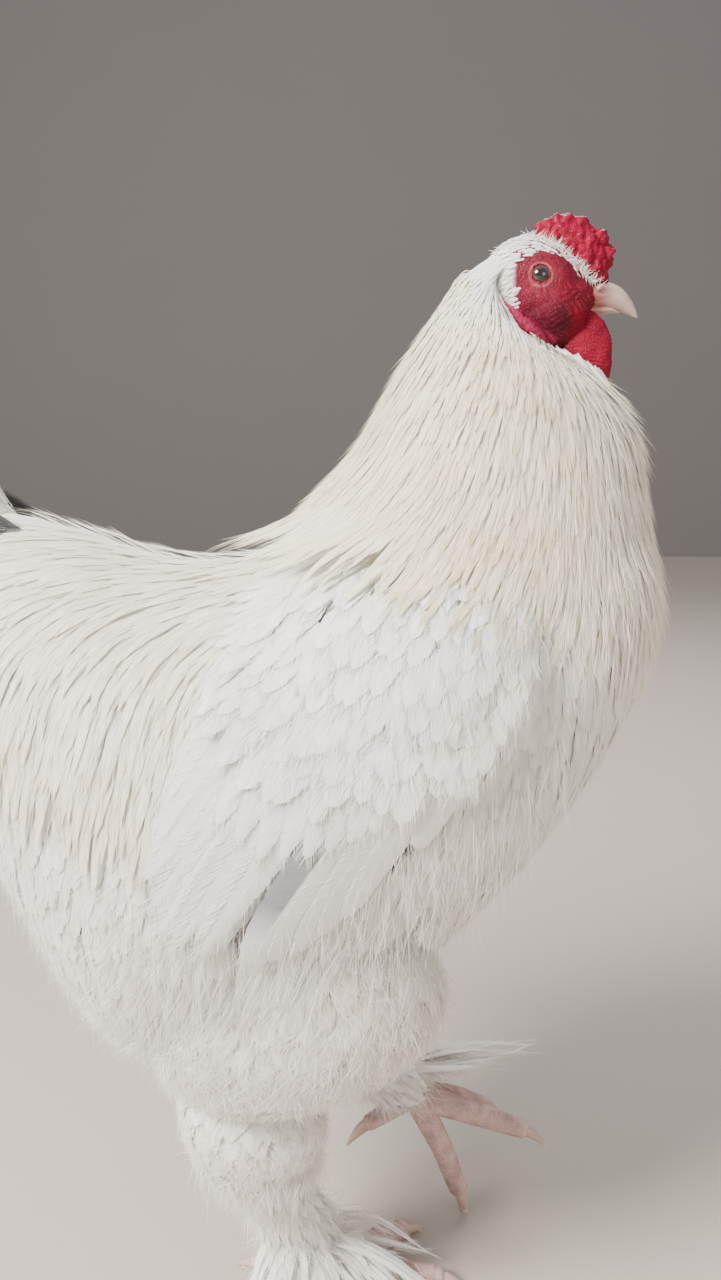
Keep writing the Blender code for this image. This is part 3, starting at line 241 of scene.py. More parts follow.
class Form:
    """A smooth body through a table's rows, as in the part. All its calls take arrays."""

    def __init__(self, table, inset=0.0):
        rows = np.array(table, float)
        ends = [rows[i][[2, 3, 0, 1, 4, 5]] * (1, 1, 1, 1, -1, 1) for i in (1, -2)]
        self.rows = np.vstack([ends[0], rows, ends[1]])
        self.last = len(table) - 1
        self.inset = inset

    def row(self, place):
        place = np.clip(place, 0, self.last)
        i = np.clip(place.astype(int), 0, self.last - 1)
        t = (place - i)[..., None]
        a, b, c, d = (self.rows[i + k] for k in range(4))
        return 0.5 * (2 * b + (c - a) * t + (2 * a - 5 * b + 4 * c - d) * t**2 + (3 * b - a - 3 * c + d) * t**3)

    def surface(self, place, angle):
        row = self.row(place)
        rise, side = np.cos(np.radians(angle)), np.sin(np.radians(angle))
        x = (row[..., 0] + row[..., 2] + rise * (row[..., 0] - row[..., 2])) / 2
        z = (row[..., 1] + row[..., 3] + rise * (row[..., 1] - row[..., 3])) / 2
        return np.stack([x, row[..., 5] + side * row[..., 4], z], -1)

    def normal(self, place, angle):
        place = np.clip(place, 0.06, self.last - 0.06)
        along = self.surface(place + 0.04, angle) - self.surface(place - 0.04, angle)
        around = self.surface(place, angle + 2) - self.surface(place, angle - 2)
        out = unit(np.cross(along, around))
        row = self.row(place)
        middle = np.stack([(row[..., 0] + row[..., 2]) / 2, row[..., 5], (row[..., 1] + row[..., 3]) / 2], -1)
        away = np.sum(out * (self.surface(place, angle) - middle), -1, keepdims=True)
        return np.where(away > 0, out, -out)

    def point(self, place, angle, height):
        return self.surface(place, angle) + np.asarray(height)[..., None] * self.normal(place, angle)

    def frame(self, place, angle):
        """Steps of the surface for one row and for one degree."""
        place = np.clip(place, 0.06, self.last - 0.06)
        along = (self.surface(place + 0.04, angle) - self.surface(place - 0.04, angle)) / 0.08
        around = (self.surface(place, angle + 2) - self.surface(place, angle - 2)) / 4
        return along, around

    def march(self, place, angle, length, stations, flow=None, wander=0.0):
        """Places and angles of lines that follow a flow over the surface; without one they follow the rows."""
        place, angle = place.copy(), angle.copy()
        places, angles = [place.copy()], [angle.copy()]
        for k in range(1, stations):
            along, around = self.frame(place, angle)
            out = unit(np.cross(along, around))
            want = along if flow is None else flow(self.surface(place, angle))
            want = want + (wander * math.cos(math.pi * k / stations))[:, None] * unit(np.cross(out, want)) * (
                np.linalg.norm(want, axis=-1, keepdims=True)) if np.ndim(wander) else want
            want = unit(want - np.sum(want * out, -1, keepdims=True) * out) * (length / (stations - 1))[:, None]
            aa, ab, bb = (np.sum(u * v, -1) for u, v in ((along, along), (along, around), (around, around)))
            wa, wb = np.sum(want * along, -1), np.sum(want * around, -1)
            det = np.maximum(aa * bb - ab * ab, 1e-14)
            place = np.clip(place + (bb * wa - ab * wb) / det, 0.03, self.last - 0.03)
            angle = angle + np.clip((aa * wb - ab * wa) / det, -25, 25)
            places.append(place)
            angles.append(angle)
        return np.stack(places, 1), np.stack(angles, 1)

    def girth(self, place):
        row = self.row(np.asarray(place, float))
        return math.pi * (row[..., 4] + np.hypot(row[..., 0] - row[..., 2], row[..., 1] - row[..., 3]) / 2)

    def mesh(self, steps, sides, height=None):
        """Points and triangles of the closed body, moved out by height(points, normals, place, angle)."""
        places = np.concatenate([[0.02], np.arange(1, steps * self.last) / steps, [self.last - 0.02]])
        place, angle = np.meshgrid(places, 360 * np.arange(sides) / sides, indexing="ij")
        normals = self.normal(place, angle)
        points = self.surface(place, angle)
        deep = np.minimum(self.inset, 0.35 * self.row(place)[..., 4])
        points = points - deep[..., None] * normals
        if height is not None:
            points = points + height(points, normals, place, angle)[..., None] * normals
        rings, sides = points.shape[:2]
        ends = points[[0, -1]].mean(1)
        tris = []
        index = np.arange(rings * sides).reshape(rings, sides)
        near, far = index[:-1], index[1:]
        turn = np.roll(np.arange(sides), -1)
        for a, b, c in ((near, near[:, turn], far[:, turn]), (near, far[:, turn], far)):
            tris.append(np.stack([a, b, c], -1).reshape(-1, 3))
        tip = rings * sides
        tris.append(np.stack([index[0][turn], index[0], np.full(sides, tip)], -1))
        tris.append(np.stack([index[-1], index[-1][turn], np.full(sides, tip + 1)], -1))
        return np.vstack([points.reshape(-1, 3), ends]), np.vstack(tris)


def unit(vectors):
    return vectors / np.maximum(np.linalg.norm(vectors, axis=-1, keepdims=True), 1e-12)


def smooth(low, high, value):
    t = np.clip((value - low) / (high - low), 0, 1)
    return t * t * (3 - 2 * t)


def new_object(name, points, tris, material=None, attributes=(), uvs=None, sharp=None):
    """A linked mesh object from arrays. Attributes are vectors at points; uvs are at points, by map name."""
    mesh = bpy.data.meshes.new(name)
    mesh.vertices.add(len(points))
    mesh.vertices.foreach_set("co", np.ascontiguousarray(points, np.float32).ravel())
    mesh.loops.add(3 * len(tris))
    mesh.loops.foreach_set("vertex_index", np.ascontiguousarray(tris, np.int32).ravel())
    mesh.polygons.add(len(tris))
    mesh.polygons.foreach_set("loop_start", np.arange(0, 3 * len(tris), 3, dtype=np.int32))
    mesh.update(calc_edges=True)
    for key, values in dict(attributes).items():
        data = mesh.attributes.new(key, "FLOAT_VECTOR", "POINT").data
        data.foreach_set("vector", np.ascontiguousarray(values, np.float32).ravel())
    for key, values in (uvs or {}).items():
        layer = mesh.uv_layers.new(name=key)
        layer.data.foreach_set("uv", np.ascontiguousarray(values[tris.ravel()], np.float32).ravel())
    mesh.shade_smooth()
    if sharp is not None:
        mesh.set_sharp_from_angle(angle=math.radians(sharp))
    obj = bpy.data.objects.new(name, mesh)
    bpy.context.scene.collection.objects.link(obj)
    if material:
        mesh.materials.append(material)
    return obj


# Materials.

def shader_of(name, roughness=0.6, **sockets):
    """A new material with its Principled shader and a helper that adds linked nodes."""
    material = bpy.data.materials.new(name)
    material.use_nodes = True
    tree = material.node_tree
    shader = tree.nodes["Principled BSDF"]
    shader.inputs["Roughness"].default_value = roughness
    for socket, value in sockets.items():
        shader.inputs[socket.replace("_", " ")].default_value = value

    def add(kind, inputs=(), **settings):
        node = tree.nodes.new(kind)
        for key, value in settings.items():
            setattr(node, key, value)
        for key, value in dict(inputs).items():
            socket = node.inputs[key]
            if isinstance(value, bpy.types.NodeSocket):
                tree.links.new(value, socket)
            else:
                socket.default_value = value
        return node

    return material, shader, add, tree


def arithmetic(add, operation, a, b=0.0, c=0.0, clamp=False):
    return add("ShaderNodeMath", {0: a, 1: b, 2: c}, operation=operation, use_clamp=clamp).outputs[0]


def mixed(add, factor, a, b, blend="MIX"):
    node = add("ShaderNodeMix", data_type="RGBA", blend_type=blend)
    for key, value in ((0, factor), (6, a), (7, b)):
        socket = node.inputs[key]
        if isinstance(value, bpy.types.NodeSocket):
            node.id_data.links.new(value, socket)
        else:
            socket.default_value = value if key == 0 else (*value, 1.0)
    return node.outputs[2]


def feather_material(name, root, tip, shaft, patch=None, tip_from=0.35, tip_to=1.0, barb_angle=42, streak=0.20,
                     roughness=0.72, sheen=0.25):
    """Vane colours along the feather, barbs slanting off the shaft, and a fine bump of the same barbs.

    The attribute vane holds millimetres across and along and the feather's own number; lie holds the share across
    and along and the feather's own tone.
    """
    material, shader, add, tree = shader_of(name, roughness, Sheen_Weight=sheen, Specular_IOR_Level=0.25,
                                            Subsurface_Weight=0.15)
    shader.inputs["Subsurface Radius"].default_value = (0.004, 0.0035, 0.003)
    shader.inputs["Subsurface Scale"].default_value = 1.0
    shader.inputs["Sheen Roughness"].default_value = 0.5
    vane = add("ShaderNodeSeparateXYZ", {0: add("ShaderNodeAttribute", attribute_name="vane").outputs["Vector"]})
    lie = add("ShaderNodeSeparateXYZ", {0: add("ShaderNodeAttribute", attribute_name="lie").outputs["Vector"]})
    across, along, number = vane.outputs
    edge, share, tone = lie.outputs
    width = arithmetic(add, "ABSOLUTE", across)
    turn = math.radians(barb_angle)
    barb_line = arithmetic(add, "SUBTRACT", arithmetic(add, "MULTIPLY", along, math.sin(turn)),
                           arithmetic(add, "MULTIPLY", width, math.cos(turn)))
    fine = add("ShaderNodeCombineXYZ", {0: arithmetic(add, "MULTIPLY", barb_line, 2.6),
                                        1: arithmetic(add, "MULTIPLY", across, 0.16), 2: number})
    coarse = add("ShaderNodeCombineXYZ", {0: arithmetic(add, "MULTIPLY", barb_line, 0.9),
                                          1: arithmetic(add, "MULTIPLY", across, 0.10), 2: number})
    barbs = add("ShaderNodeTexNoise", {"Vector": fine.outputs[0], "Scale": 1.0, "Detail": 2.0}).outputs["Fac"]
    clumps = add("ShaderNodeTexNoise", {"Vector": coarse.outputs[0], "Scale": 1.0, "Detail": 1.5}).outputs["Fac"]
    both = arithmetic(add, "MULTIPLY_ADD", clumps, 0.7, arithmetic(add, "MULTIPLY", barbs, 0.3))
    near_tip = add("ShaderNodeMapRange", {0: share, 1: tip_from, 2: tip_to}, interpolation_type="SMOOTHSTEP").outputs[0]
    place = add("ShaderNodeTexCoord").outputs["Object"]
    cloud = add("ShaderNodeTexNoise", {"Vector": place, "Scale": 16.0, "Detail": 2.0}).outputs["Fac"]
    near_tip = arithmetic(add, "MULTIPLY", near_tip, add("ShaderNodeMapRange", {0: cloud, 1: 0.35, 2: 0.65, 3: 0.35}).outputs[0])
    ahead = add("ShaderNodeSeparateXYZ", {0: place}).outputs[0]
    near_tip = arithmetic(add, "MULTIPLY", near_tip, add("ShaderNodeMapRange", {0: ahead, 1: 0.10, 2: 0.18, 3: 1.0, 4: 0.2}).outputs[0])
    colour = mixed(add, near_tip, root, tip)
    # The patch darkens part of the inner web; on the wing's last primary it is the web's own grey, deepened by painted
    # shade under the next feather's edge.
    if patch:
        dark, low, high, inner = patch
        inside = add("ShaderNodeMapRange", {0: share, 1: low, 2: low + 0.14}).outputs[0]
        beyond = add("ShaderNodeMapRange", {0: share, 1: high, 2: high + 0.14, 3: 1.0, 4: 0.0}).outputs[0]
        web = add("ShaderNodeMapRange", {0: across, 1: inner, 2: inner + 1.2}).outputs[0]
        colour = mixed(add, arithmetic(add, "MULTIPLY", arithmetic(add, "MULTIPLY", inside, beyond), web), colour, dark)
    shade = add("ShaderNodeMapRange", {0: both, 1: 0.30, 2: 0.70, 3: 1.0 - streak, 4: 1.0 + 0.35 * streak}).outputs[0]
    shade = arithmetic(add, "MULTIPLY", shade, arithmetic(add, "MULTIPLY_ADD", tone, 0.055, 1.0))
    lit = add("ShaderNodeVectorMath", {0: colour, "Scale": shade}, operation="SCALE").outputs[0]
    rib = add("ShaderNodeMapRange", {0: width, 1: 0.55, 2: 0.15}).outputs[0]
    rib = arithmetic(add, "MULTIPLY", rib, add("ShaderNodeMapRange", {0: share, 1: 0.95, 2: 0.6}).outputs[0])
    final = mixed(add, arithmetic(add, "MULTIPLY", rib, 0.55), (0, 0, 0), shaft)
    tree.links.new(lit, final.node.inputs[6])
    tree.links.new(final, shader.inputs["Base Color"])
    height = arithmetic(add, "ADD", arithmetic(add, "MULTIPLY", both, 0.6), arithmetic(add, "MULTIPLY", rib, 0.35))
    bump = add("ShaderNodeBump", {"Strength": 0.55, "Distance": 0.0007, "Height": height})
    tree.links.new(bump.outputs[0], shader.inputs["Normal"])
    rough = add("ShaderNodeMapRange", {0: clumps, 1: 0.3, 2: 0.7, 3: roughness - 0.08, 4: roughness + 0.08}).outputs[0]
    tree.links.new(rough, shader.inputs["Roughness"])
    return material


def down_material(name, root, tip, warm):
    """Down: deep parts darker and warmer as painted shade in the fluff's recesses, tips paler, with each tuft its own
    tone.
    """
    material, shader, add, tree = shader_of(name, 0.85, Sheen_Weight=0.35, Specular_IOR_Level=0.15,
                                            Subsurface_Weight=0.22)
    shader.inputs["Subsurface Radius"].default_value = (0.005, 0.0045, 0.004)
    shader.inputs["Subsurface Scale"].default_value = 1.0
    lie = add("ShaderNodeSeparateXYZ", {0: add("ShaderNodeAttribute", attribute_name="lie").outputs["Vector"]})
    share, tone = lie.outputs[1], lie.outputs[2]
    # Darker and warmer towards the root: painted shade deep in the fluff.
    near_tip = add("ShaderNodeMapRange", {0: share, 1: 0.1, 2: 0.8}, interpolation_type="SMOOTHSTEP").outputs[0]
    colour = mixed(add, near_tip, root, tip)
    place = add("ShaderNodeTexCoord").outputs["Object"]
    # Warm beige mixed in by patches of noise.
    patches = add("ShaderNodeTexNoise", {"Vector": place, "Scale": 26.0, "Detail": 2.0}).outputs["Fac"]
    warm_share = add("ShaderNodeMapRange", {0: patches, 1: 0.45, 2: 0.75}).outputs[0]
    colour = mixed(add, arithmetic(add, "MULTIPLY", warm_share, 0.35), (0, 0, 0), warm)
    tree.links.new(mixed(add, near_tip, root, tip), colour.node.inputs[6])
    grain = add("ShaderNodeTexNoise", {"Vector": place, "Scale": 900.0, "Detail": 1.0}).outputs["Fac"]
    shade = arithmetic(add, "MULTIPLY", add("ShaderNodeMapRange", {0: grain, 1: 0.3, 2: 0.7, 3: 0.93, 4: 1.04}).outputs[0],
                       arithmetic(add, "MULTIPLY_ADD", tone, 0.05, 1.0))
    lit = add("ShaderNodeVectorMath", {0: colour, "Scale": shade}, operation="SCALE").outputs[0]
    tree.links.new(lit, shader.inputs["Base Color"])
    bump = add("ShaderNodeBump", {"Strength": 0.3, "Distance": 0.0004, "Height": grain})
    tree.links.new(bump.outputs[0], shader.inputs["Normal"])
    return material


def skin_material():
    """Bare skin in its painted colours, with pores, fine wrinkles and a moist sheen."""
    material, shader, add, tree = shader_of("skin", 0.5, Subsurface_Weight=0.12, Specular_IOR_Level=0.20,
                                            Coat_Weight=0.03)
    shader.inputs["Subsurface Radius"].default_value = (0.004, 0.0012, 0.0008)
    shader.inputs["Subsurface Scale"].default_value = 0.5
    place = add("ShaderNodeTexCoord").outputs["Object"]
    paint = add("ShaderNodeAttribute", attribute_name="paint").outputs["Vector"]
    warp = add("ShaderNodeTexNoise", {"Vector": place, "Scale": 160.0, "Detail": 2.0})
    moved = add("ShaderNodeVectorMath", {0: place, 1: add("ShaderNodeVectorMath", {
        0: warp.outputs["Color"], "Scale": 0.0025}, operation="SCALE").outputs[0]}, operation="ADD").outputs[0]
    cells = add("ShaderNodeTexVoronoi", {"Vector": moved, "Scale": 900.0}, feature="F1").outputs["Distance"]
    creases = add("ShaderNodeTexVoronoi", {"Vector": moved, "Scale": 540.0}, feature="DISTANCE_TO_EDGE").outputs["Distance"]
    crease = add("ShaderNodeMapRange", {0: creases, 1: 0.0, 2: 0.16}).outputs[0]
    blotch = add("ShaderNodeTexNoise", {"Vector": place, "Scale": 90.0, "Detail": 3.0}).outputs["Fac"]
    shade = add("ShaderNodeMapRange", {0: blotch, 1: 0.3, 2: 0.7, 3: 0.72, 4: 1.22}).outputs[0]
    # Darker along the fine creases: painted shade in the wrinkles.
    shade = arithmetic(add, "MULTIPLY", shade, add("ShaderNodeMapRange", {0: crease, 3: 0.80, 4: 1.04}).outputs[0])
    tree.links.new(add("ShaderNodeVectorMath", {0: paint, "Scale": shade}, operation="SCALE").outputs[0],
                   shader.inputs["Base Color"])
    height = arithmetic(add, "SUBTRACT", arithmetic(add, "MULTIPLY", crease, 0.8), arithmetic(add, "MULTIPLY", cells, 0.5))
    bump = add("ShaderNodeBump", {"Strength": 0.6, "Distance": 0.0004, "Height": height})
    tree.links.new(bump.outputs[0], shader.inputs["Normal"])
    rough = add("ShaderNodeMapRange", {0: blotch, 1: 0.3, 2: 0.7, 3: 0.40, 4: 0.62}).outputs[0]
    tree.links.new(rough, shader.inputs["Roughness"])
    return material


def horn_material():
    """Pale pink horn, redder and darker at the beak's base, with faint growth lines."""
    material, shader, add, tree = shader_of("horn", 0.34, Subsurface_Weight=0.08, Coat_Weight=0.12)
    shader.inputs["Subsurface Radius"].default_value = (0.003, 0.0015, 0.001)
    place = add("ShaderNodeTexCoord").outputs["Object"]
    lines = add("ShaderNodeTexNoise", {"Vector": add("ShaderNodeMapping", {
        "Vector": place, "Scale": (900, 260, 260)}).outputs[0], "Scale": 1.0, "Detail": 3.0}).outputs["Fac"]
    cloud = add("ShaderNodeTexNoise", {"Vector": place, "Scale": 120.0, "Detail": 3.0}).outputs["Fac"]
    colour = mixed(add, add("ShaderNodeMapRange", {0: cloud, 1: 0.35, 2: 0.65}).outputs[0],
                   (0.56, 0.40, 0.33), (0.64, 0.50, 0.41))
    colour = mixed(add, add("ShaderNodeMapRange", {0: lines, 1: 0.42, 2: 0.72, 3: 0.0, 4: 0.4}).outputs[0], (0, 0, 0),
                   (0.42, 0.29, 0.24))
    # These are the pink tones used, set darker than the horn's own as painted shade of a beak lying in shade.
    tree.links.new(mixed(add, cloud, (0.45, 0.31, 0.26), (0.55, 0.41, 0.34)), colour.node.inputs[6])
    parts = add("ShaderNodeSeparateXYZ", {0: place}).outputs
    base = add("ShaderNodeMapRange", {0: parts[0], 1: 0.171, 2: 0.158}, interpolation_type="SMOOTHSTEP").outputs[0]
    high = add("ShaderNodeMapRange", {0: parts[2], 1: 0.60, 2: 0.61}).outputs[0]
    final = mixed(add, arithmetic(add, "MULTIPLY", base, high), (0, 0, 0), (0.36, 0.11, 0.10))
    tree.links.new(colour, final.node.inputs[6])
    tree.links.new(final, shader.inputs["Base Color"])
    bump = add("ShaderNodeBump", {"Strength": 0.25, "Distance": 0.0003, "Height": lines})
    tree.links.new(bump.outputs[0], shader.inputs["Normal"])
    rough = add("ShaderNodeMapRange", {0: cloud, 3: 0.28, 4: 0.42}).outputs[0]
    tree.links.new(rough, shader.inputs["Roughness"])
    return material


def eye_material():
    """A dark pupil in a reddish-brown iris with fine rays, under a wet clear coat."""
    material, shader, add, tree = shader_of("eye", 0.12, Coat_Weight=1.0, Coat_Roughness=0.02, Specular_IOR_Level=0.6)
    place = add("ShaderNodeSeparateXYZ", {0: add("ShaderNodeTexCoord").outputs["Object"]})
    dx = arithmetic(add, "SUBTRACT", place.outputs[0], EYE_CENTRE[0] + 0.0004)
    dz = arithmetic(add, "SUBTRACT", place.outputs[2], EYE_CENTRE[2])
    off = arithmetic(add, "SQRT", arithmetic(add, "ADD", arithmetic(add, "MULTIPLY", dx, dx),
                                             arithmetic(add, "MULTIPLY", dz, dz)))
    turn = arithmetic(add, "ARCTAN2", dz, dx)
    rays = add("ShaderNodeTexNoise", {"Vector": add("ShaderNodeCombineXYZ", {
        0: arithmetic(add, "MULTIPLY", turn, 5.0), 1: arithmetic(add, "MULTIPLY", off, 400.0)}).outputs[0],
        "Scale": 1.0, "Detail": 3.0}).outputs["Fac"]
    iris = mixed(add, rays, (0.024, 0.007, 0.004), (0.085, 0.024, 0.012))
    ring = add("ShaderNodeMapRange", {0: off, 1: 0.0047, 2: 0.0056}).outputs[0]
    outer = mixed(add, ring, (0, 0, 0), (0.02, 0.008, 0.006))
    tree.links.new(iris, outer.node.inputs[6])
    pupil = add("ShaderNodeMapRange", {0: off, 1: 0.0030, 2: 0.0035}).outputs[0]
    final = mixed(add, pupil, (0.002, 0.002, 0.002), (0, 0, 0))
    tree.links.new(outer, final.node.inputs[7])
    tree.links.new(final, shader.inputs["Base Color"])
    return material


def stage_material(name, colour):
    material, shader, add, tree = shader_of(name, 0.85)
    place = add("ShaderNodeTexCoord").outputs["Object"]
    grain = add("ShaderNodeTexNoise", {"Vector": place, "Scale": 3.0, "Detail": 4.0}).outputs["Fac"]
    dark = tuple(0.96 * c for c in colour)
    tree.links.new(mixed(add, grain, dark, colour), shader.inputs["Base Color"])
    return material


# Skin.

def tube_arrays(line, sides=28, steps=10, scutes=0.0):
    """A tapered tube with domed ends, ringed with scutes: raised plates divided by grooves."""
    knots = np.array(line, float)
    ease = np.linspace(0, len(knots) - 1, steps * (len(knots) - 1) + 1)
    along = np.array([np.interp(ease, range(len(knots)), knots[:, k]) for k in range(4)]).T
    for _ in range(3):
        along[1:-1] = (along[:-2] + 2 * along[1:-1] + along[2:]) / 4
    first, final = along[0], along[-1]
    start = unit(first[:3] - along[1][:3])
    end = unit(final[:3] - along[-2][:3])
    cap_in = [np.append(first[:3] + start * first[3] * d, first[3] * r) for d, r in ((0.7, 0.65),)]
    cap_out = [np.append(final[:3] + end * final[3] * d, final[3] * r) for d, r in ((0.25, 0.97), (0.5, 0.82), (0.62, 0.6))]
    along = np.vstack([cap_in, along, cap_out])
    heading = unit(np.gradient(along[:, :3], axis=0))
    side = unit(np.cross(heading, (0, 0, 1)))
    rise = np.cross(side, heading)
    run = np.concatenate([[0], np.cumsum(np.linalg.norm(np.diff(along[:, :3], axis=0), axis=1))])
    turn = 2 * np.pi * np.arange(sides) / sides
    upper = 0.5 + 0.5 * np.cos(turn)
    groove = np.abs((run / 0.0042) % 1 - 0.5) * 2
    relief = 1 + scutes * (upper[None, :] * (0.5 - groove[:, None] ** 4) )
    radius = along[:, 3][:, None] * relief
    points = (along[:, None, :3] + radius[..., None] * (np.cos(turn)[None, :, None] * rise[:, None]
                                                      + np.sin(turn)[None, :, None] * side[:, None]))
    rings = len(along)
    index = np.arange(rings * sides).reshape(rings, sides)
    near, far, next_side = index[:-1], index[1:], np.roll(np.arange(sides), -1)
    tris = [np.stack([near, near[:, next_side], far[:, next_side]], -1).reshape(-1, 3),
            np.stack([near, far[:, next_side], far], -1).reshape(-1, 3)]
    tip = rings * sides
    tris.append(np.stack([index[0][next_side], index[0], np.full(sides, tip)], -1))
    tris.append(np.stack([index[-1], index[-1][next_side], np.full(sides, tip + 1)], -1))
    ends = [points[0].mean(0), points[-1].mean(0)]
    return np.vstack([points.reshape(-1, 3), ends]), np.vstack(tris)


def solid(name, arrays):
    """An object from points and triangles with its faces turned outward."""
    obj = new_object(name, *arrays)
    bm = bmesh.new()
    bm.from_mesh(obj.data)
    bmesh.ops.recalc_face_normals(bm, faces=bm.faces)
    bm.to_mesh(obj.data)
    bm.free()
    return obj


def combined(obj, others, operation="UNION"):
    tools = bpy.data.collections.new("tools")
    bpy.context.scene.collection.children.link(tools)
    for other in others:
        tools.objects.link(other)
    step = obj.modifiers.new("combine", "BOOLEAN")
    step.operation, step.operand_type, step.collection, step.solver = operation, "COLLECTION", tools, "MANIFOLD"
    mesh = bpy.data.meshes.new_from_object(obj.evaluated_get(bpy.context.evaluated_depsgraph_get()))
    obj.modifiers.remove(step)
    obj.data = mesh
    for other in others:
        bpy.data.objects.remove(other)
    bpy.data.collections.remove(tools)
    return obj


def noise_at(points, scale, octaves=3, offset=0.0):
    return np.array([noise.fractal(Vector(p) * scale + Vector((offset, 0, 0)), 1.0, 2.0, octaves) for p in points])


def lumps(points, centres, heights, radii):
    """Bumps that merge into each other: how far each point is raised."""
    total = np.zeros(len(points))
    for centre, height, radius in zip(centres, heights, radii):
        d = np.linalg.norm(points - centre, axis=1) / radius
        total += (height * np.clip(1 - d**2, 0, None)) ** 3
    return np.cbrt(total)


# The comb's points: place along it, angle round it, height, base radius.
COMB_POINTS = (
    (0.9, 0, 0.0036, 0.0052), (1.5, 0, 0.0040, 0.0055), (2.1, 0, 0.0045, 0.0058), (2.65, 0, 0.0044, 0.0052),
    (3.2, 0, 0.0026, 0.0040), (3.75, 0, 0.0062, 0.0044), (4.15, 0, 0.0040, 0.0038), (4.6, 0, 0.0060, 0.0044),
    (5.1, 0, 0.0034, 0.0042),
    (1.0, 50, 0.0010, 0.0042), (1.8, 48, 0.0013, 0.0048), (2.6, 52, 0.0012, 0.0046), (3.4, 50, 0.0013, 0.0046),
    (4.2, 52, 0.0012, 0.0044), (4.9, 55, 0.0009, 0.0036),
    (1.5, 92, 0.0010, 0.0040), (2.4, 96, 0.0012, 0.0044), (3.3, 92, 0.0012, 0.0044), (4.2, 98, 0.0012, 0.0040),
)


def comb_arrays():
    chance = np.random.default_rng(SEED)
    form = Form(COMB)
    table = [(p, s * a, h, r) for p, a, h, r in COMB_POINTS for s in ((1, -1) if a else (1,))]
    big = len(table)
    table += [(p, a, h, r) for p, a, h, r in zip(chance.uniform(0.6, 5.3, 120), chance.uniform(-110, 110, 120),
                                                 chance.uniform(0.0004, 0.0009, 120), chance.uniform(0.0010, 0.0020, 120))]
    place, angle, height, radius = np.array(table).T
    bases = form.surface(place, angle)

    def relief(points, normals, p, a):
        flat = points.reshape(-1, 3)
        warp = np.stack([noise_at(flat, 190, 2, k) for k in (0, 40, 80)], -1) * 0.0022
        raised = lumps(flat + warp, bases[:big], height[:big], radius[:big])
        raised += 0.9 * lumps(flat + warp, bases[big:], height[big:], radius[big:]) + 0.0008 * noise_at(flat, 360, 4)
        return raised.reshape(p.shape)

    return form.mesh(16, 72, relief)


def wattle_arrays(side):
    form = Form([(*row[:5], -side * row[5]) for row in WATTLE])

    def relief(points, normals, p, a):
        flat = points.reshape(-1, 3)
        warp = noise_at(flat, 150, 2) * 0.9
        ridges = np.sin(flat[:, 2] * 2 * np.pi / 0.0021 + 5.0 * warp + 90 * flat[:, 0])
        fade = smooth(0.25, 1.2, p.ravel()) * smooth(4.9, 4.0, p.ravel())
        return (0.00018 * ridges * fade + 0.0007 * warp * fade).reshape(p.shape)

    return form.mesh(14, 56, relief)


def lobe_arrays(side):
    form = Form([(*row[:5], -side * row[5]) for row in EAR_LOBE])

    def relief(points, normals, p, a):
        flat = points.reshape(-1, 3)
        warp = noise_at(flat, 260, 3)
        return (0.0006 * warp + 0.00025 * np.sin(flat[:, 0] * 2 * np.pi / 0.0022 + 3 * warp)).reshape(p.shape)

    return form.mesh(12, 40, relief)


def head_arrays():
    """The head, with the brow, cheek and jaw folds of bare skin."""

    def relief(points, normals, p, a):
        flat = points.reshape(-1, 3)
        x, y, z = flat.T
        bare = smooth(0.108, 0.120, x) * smooth(0.678, 0.672, z)
        warp = noise_at(flat, 110, 3)
        eye = np.hypot(x - EYE_CENTRE[0], (z - EYE_CENTRE[2]) * 1.1)
        rings = np.sin(eye * 2 * np.pi / 0.0021 + 3.0 * warp) * smooth(0.0155, 0.010, eye)
        jaw = (x - 0.112) * 0.65 + (z - 0.640) * 0.75
        folds = np.sin(jaw * 2 * np.pi / 0.0026 + 5.0 * warp) * smooth(0.012, 0.017, eye)
        brow = 0.0014 * np.exp(-(((x - 0.126) / 0.010) ** 2 + ((z - 0.6735) / 0.0030) ** 2))
        cheek = 0.0016 * np.exp(-(((x - 0.133) / 0.012) ** 2 + ((z - 0.645) / 0.008) ** 2))
        out = bare * (0.00030 * rings + 0.00042 * folds + 0.0007 * warp) + (brow + cheek) * smooth(0.006, 0.014, abs(y))
        return out.reshape(p.shape)

    return Form(HEAD).mesh(20, 128, relief)


def lid_arrays(side):
    """Both eyelids as one ring: its rim lies on the eyeball and its outer edge sinks into the face."""
    profile = ((5.9, -0.5), (5.8, 0.15), (6.05, 0.65), (6.6, 0.85), (7.1, 0.65), (7.5, 0.45), (8.0, 0.65), (8.7, 0.55),
               (9.5, 0.20), (10.4, -0.2), (10.8, -1.6), (8.4, -3.0), (6.2, -2.6))
    around = 72
    chance = np.random.default_rng(SEED)
    wave = [chance.uniform(0, 2 * np.pi) for _ in profile]
    rings = []
    for k in range(around):
        turn = 2 * np.pi * k / around
        ring = []
        for (reach, height), phase in zip(profile, wave):
            wobble = 0.12 * math.sin(5 * turn + phase) + 0.08 * math.sin(11 * turn + 2 * phase)
            reach = (reach + (wobble if reach > 6.8 else 0)) * MM
            # The opening is a little wider than high, and drawn out towards the beak and the ear.
            x = EYE_CENTRE[0] + reach * math.cos(turn) * 1.08
            z = EYE_CENTRE[2] + reach * math.sin(turn) * 0.90
            ball = math.sqrt(EYE_RADIUS**2 - min(reach, 0.0060) ** 2)
            y = EYE_CENTRE[1] + ball + (height + 0.25 * (wobble if reach > 0.006 else 0)) * MM
            ring.append((x, side * y, z))
        rings.append(ring)
    points = np.array(rings).reshape(-1, 3)
    across = len(profile)
    index = np.arange(around * across).reshape(around, across)
    far, turn = np.roll(index, -1, 0), np.roll(np.arange(across), -1)
    tris = np.vstack([np.stack([index, index[:, turn], far[:, turn]], -1).reshape(-1, 3),
                      np.stack([index, far[:, turn], far], -1).reshape(-1, 3)])
    return points, tris


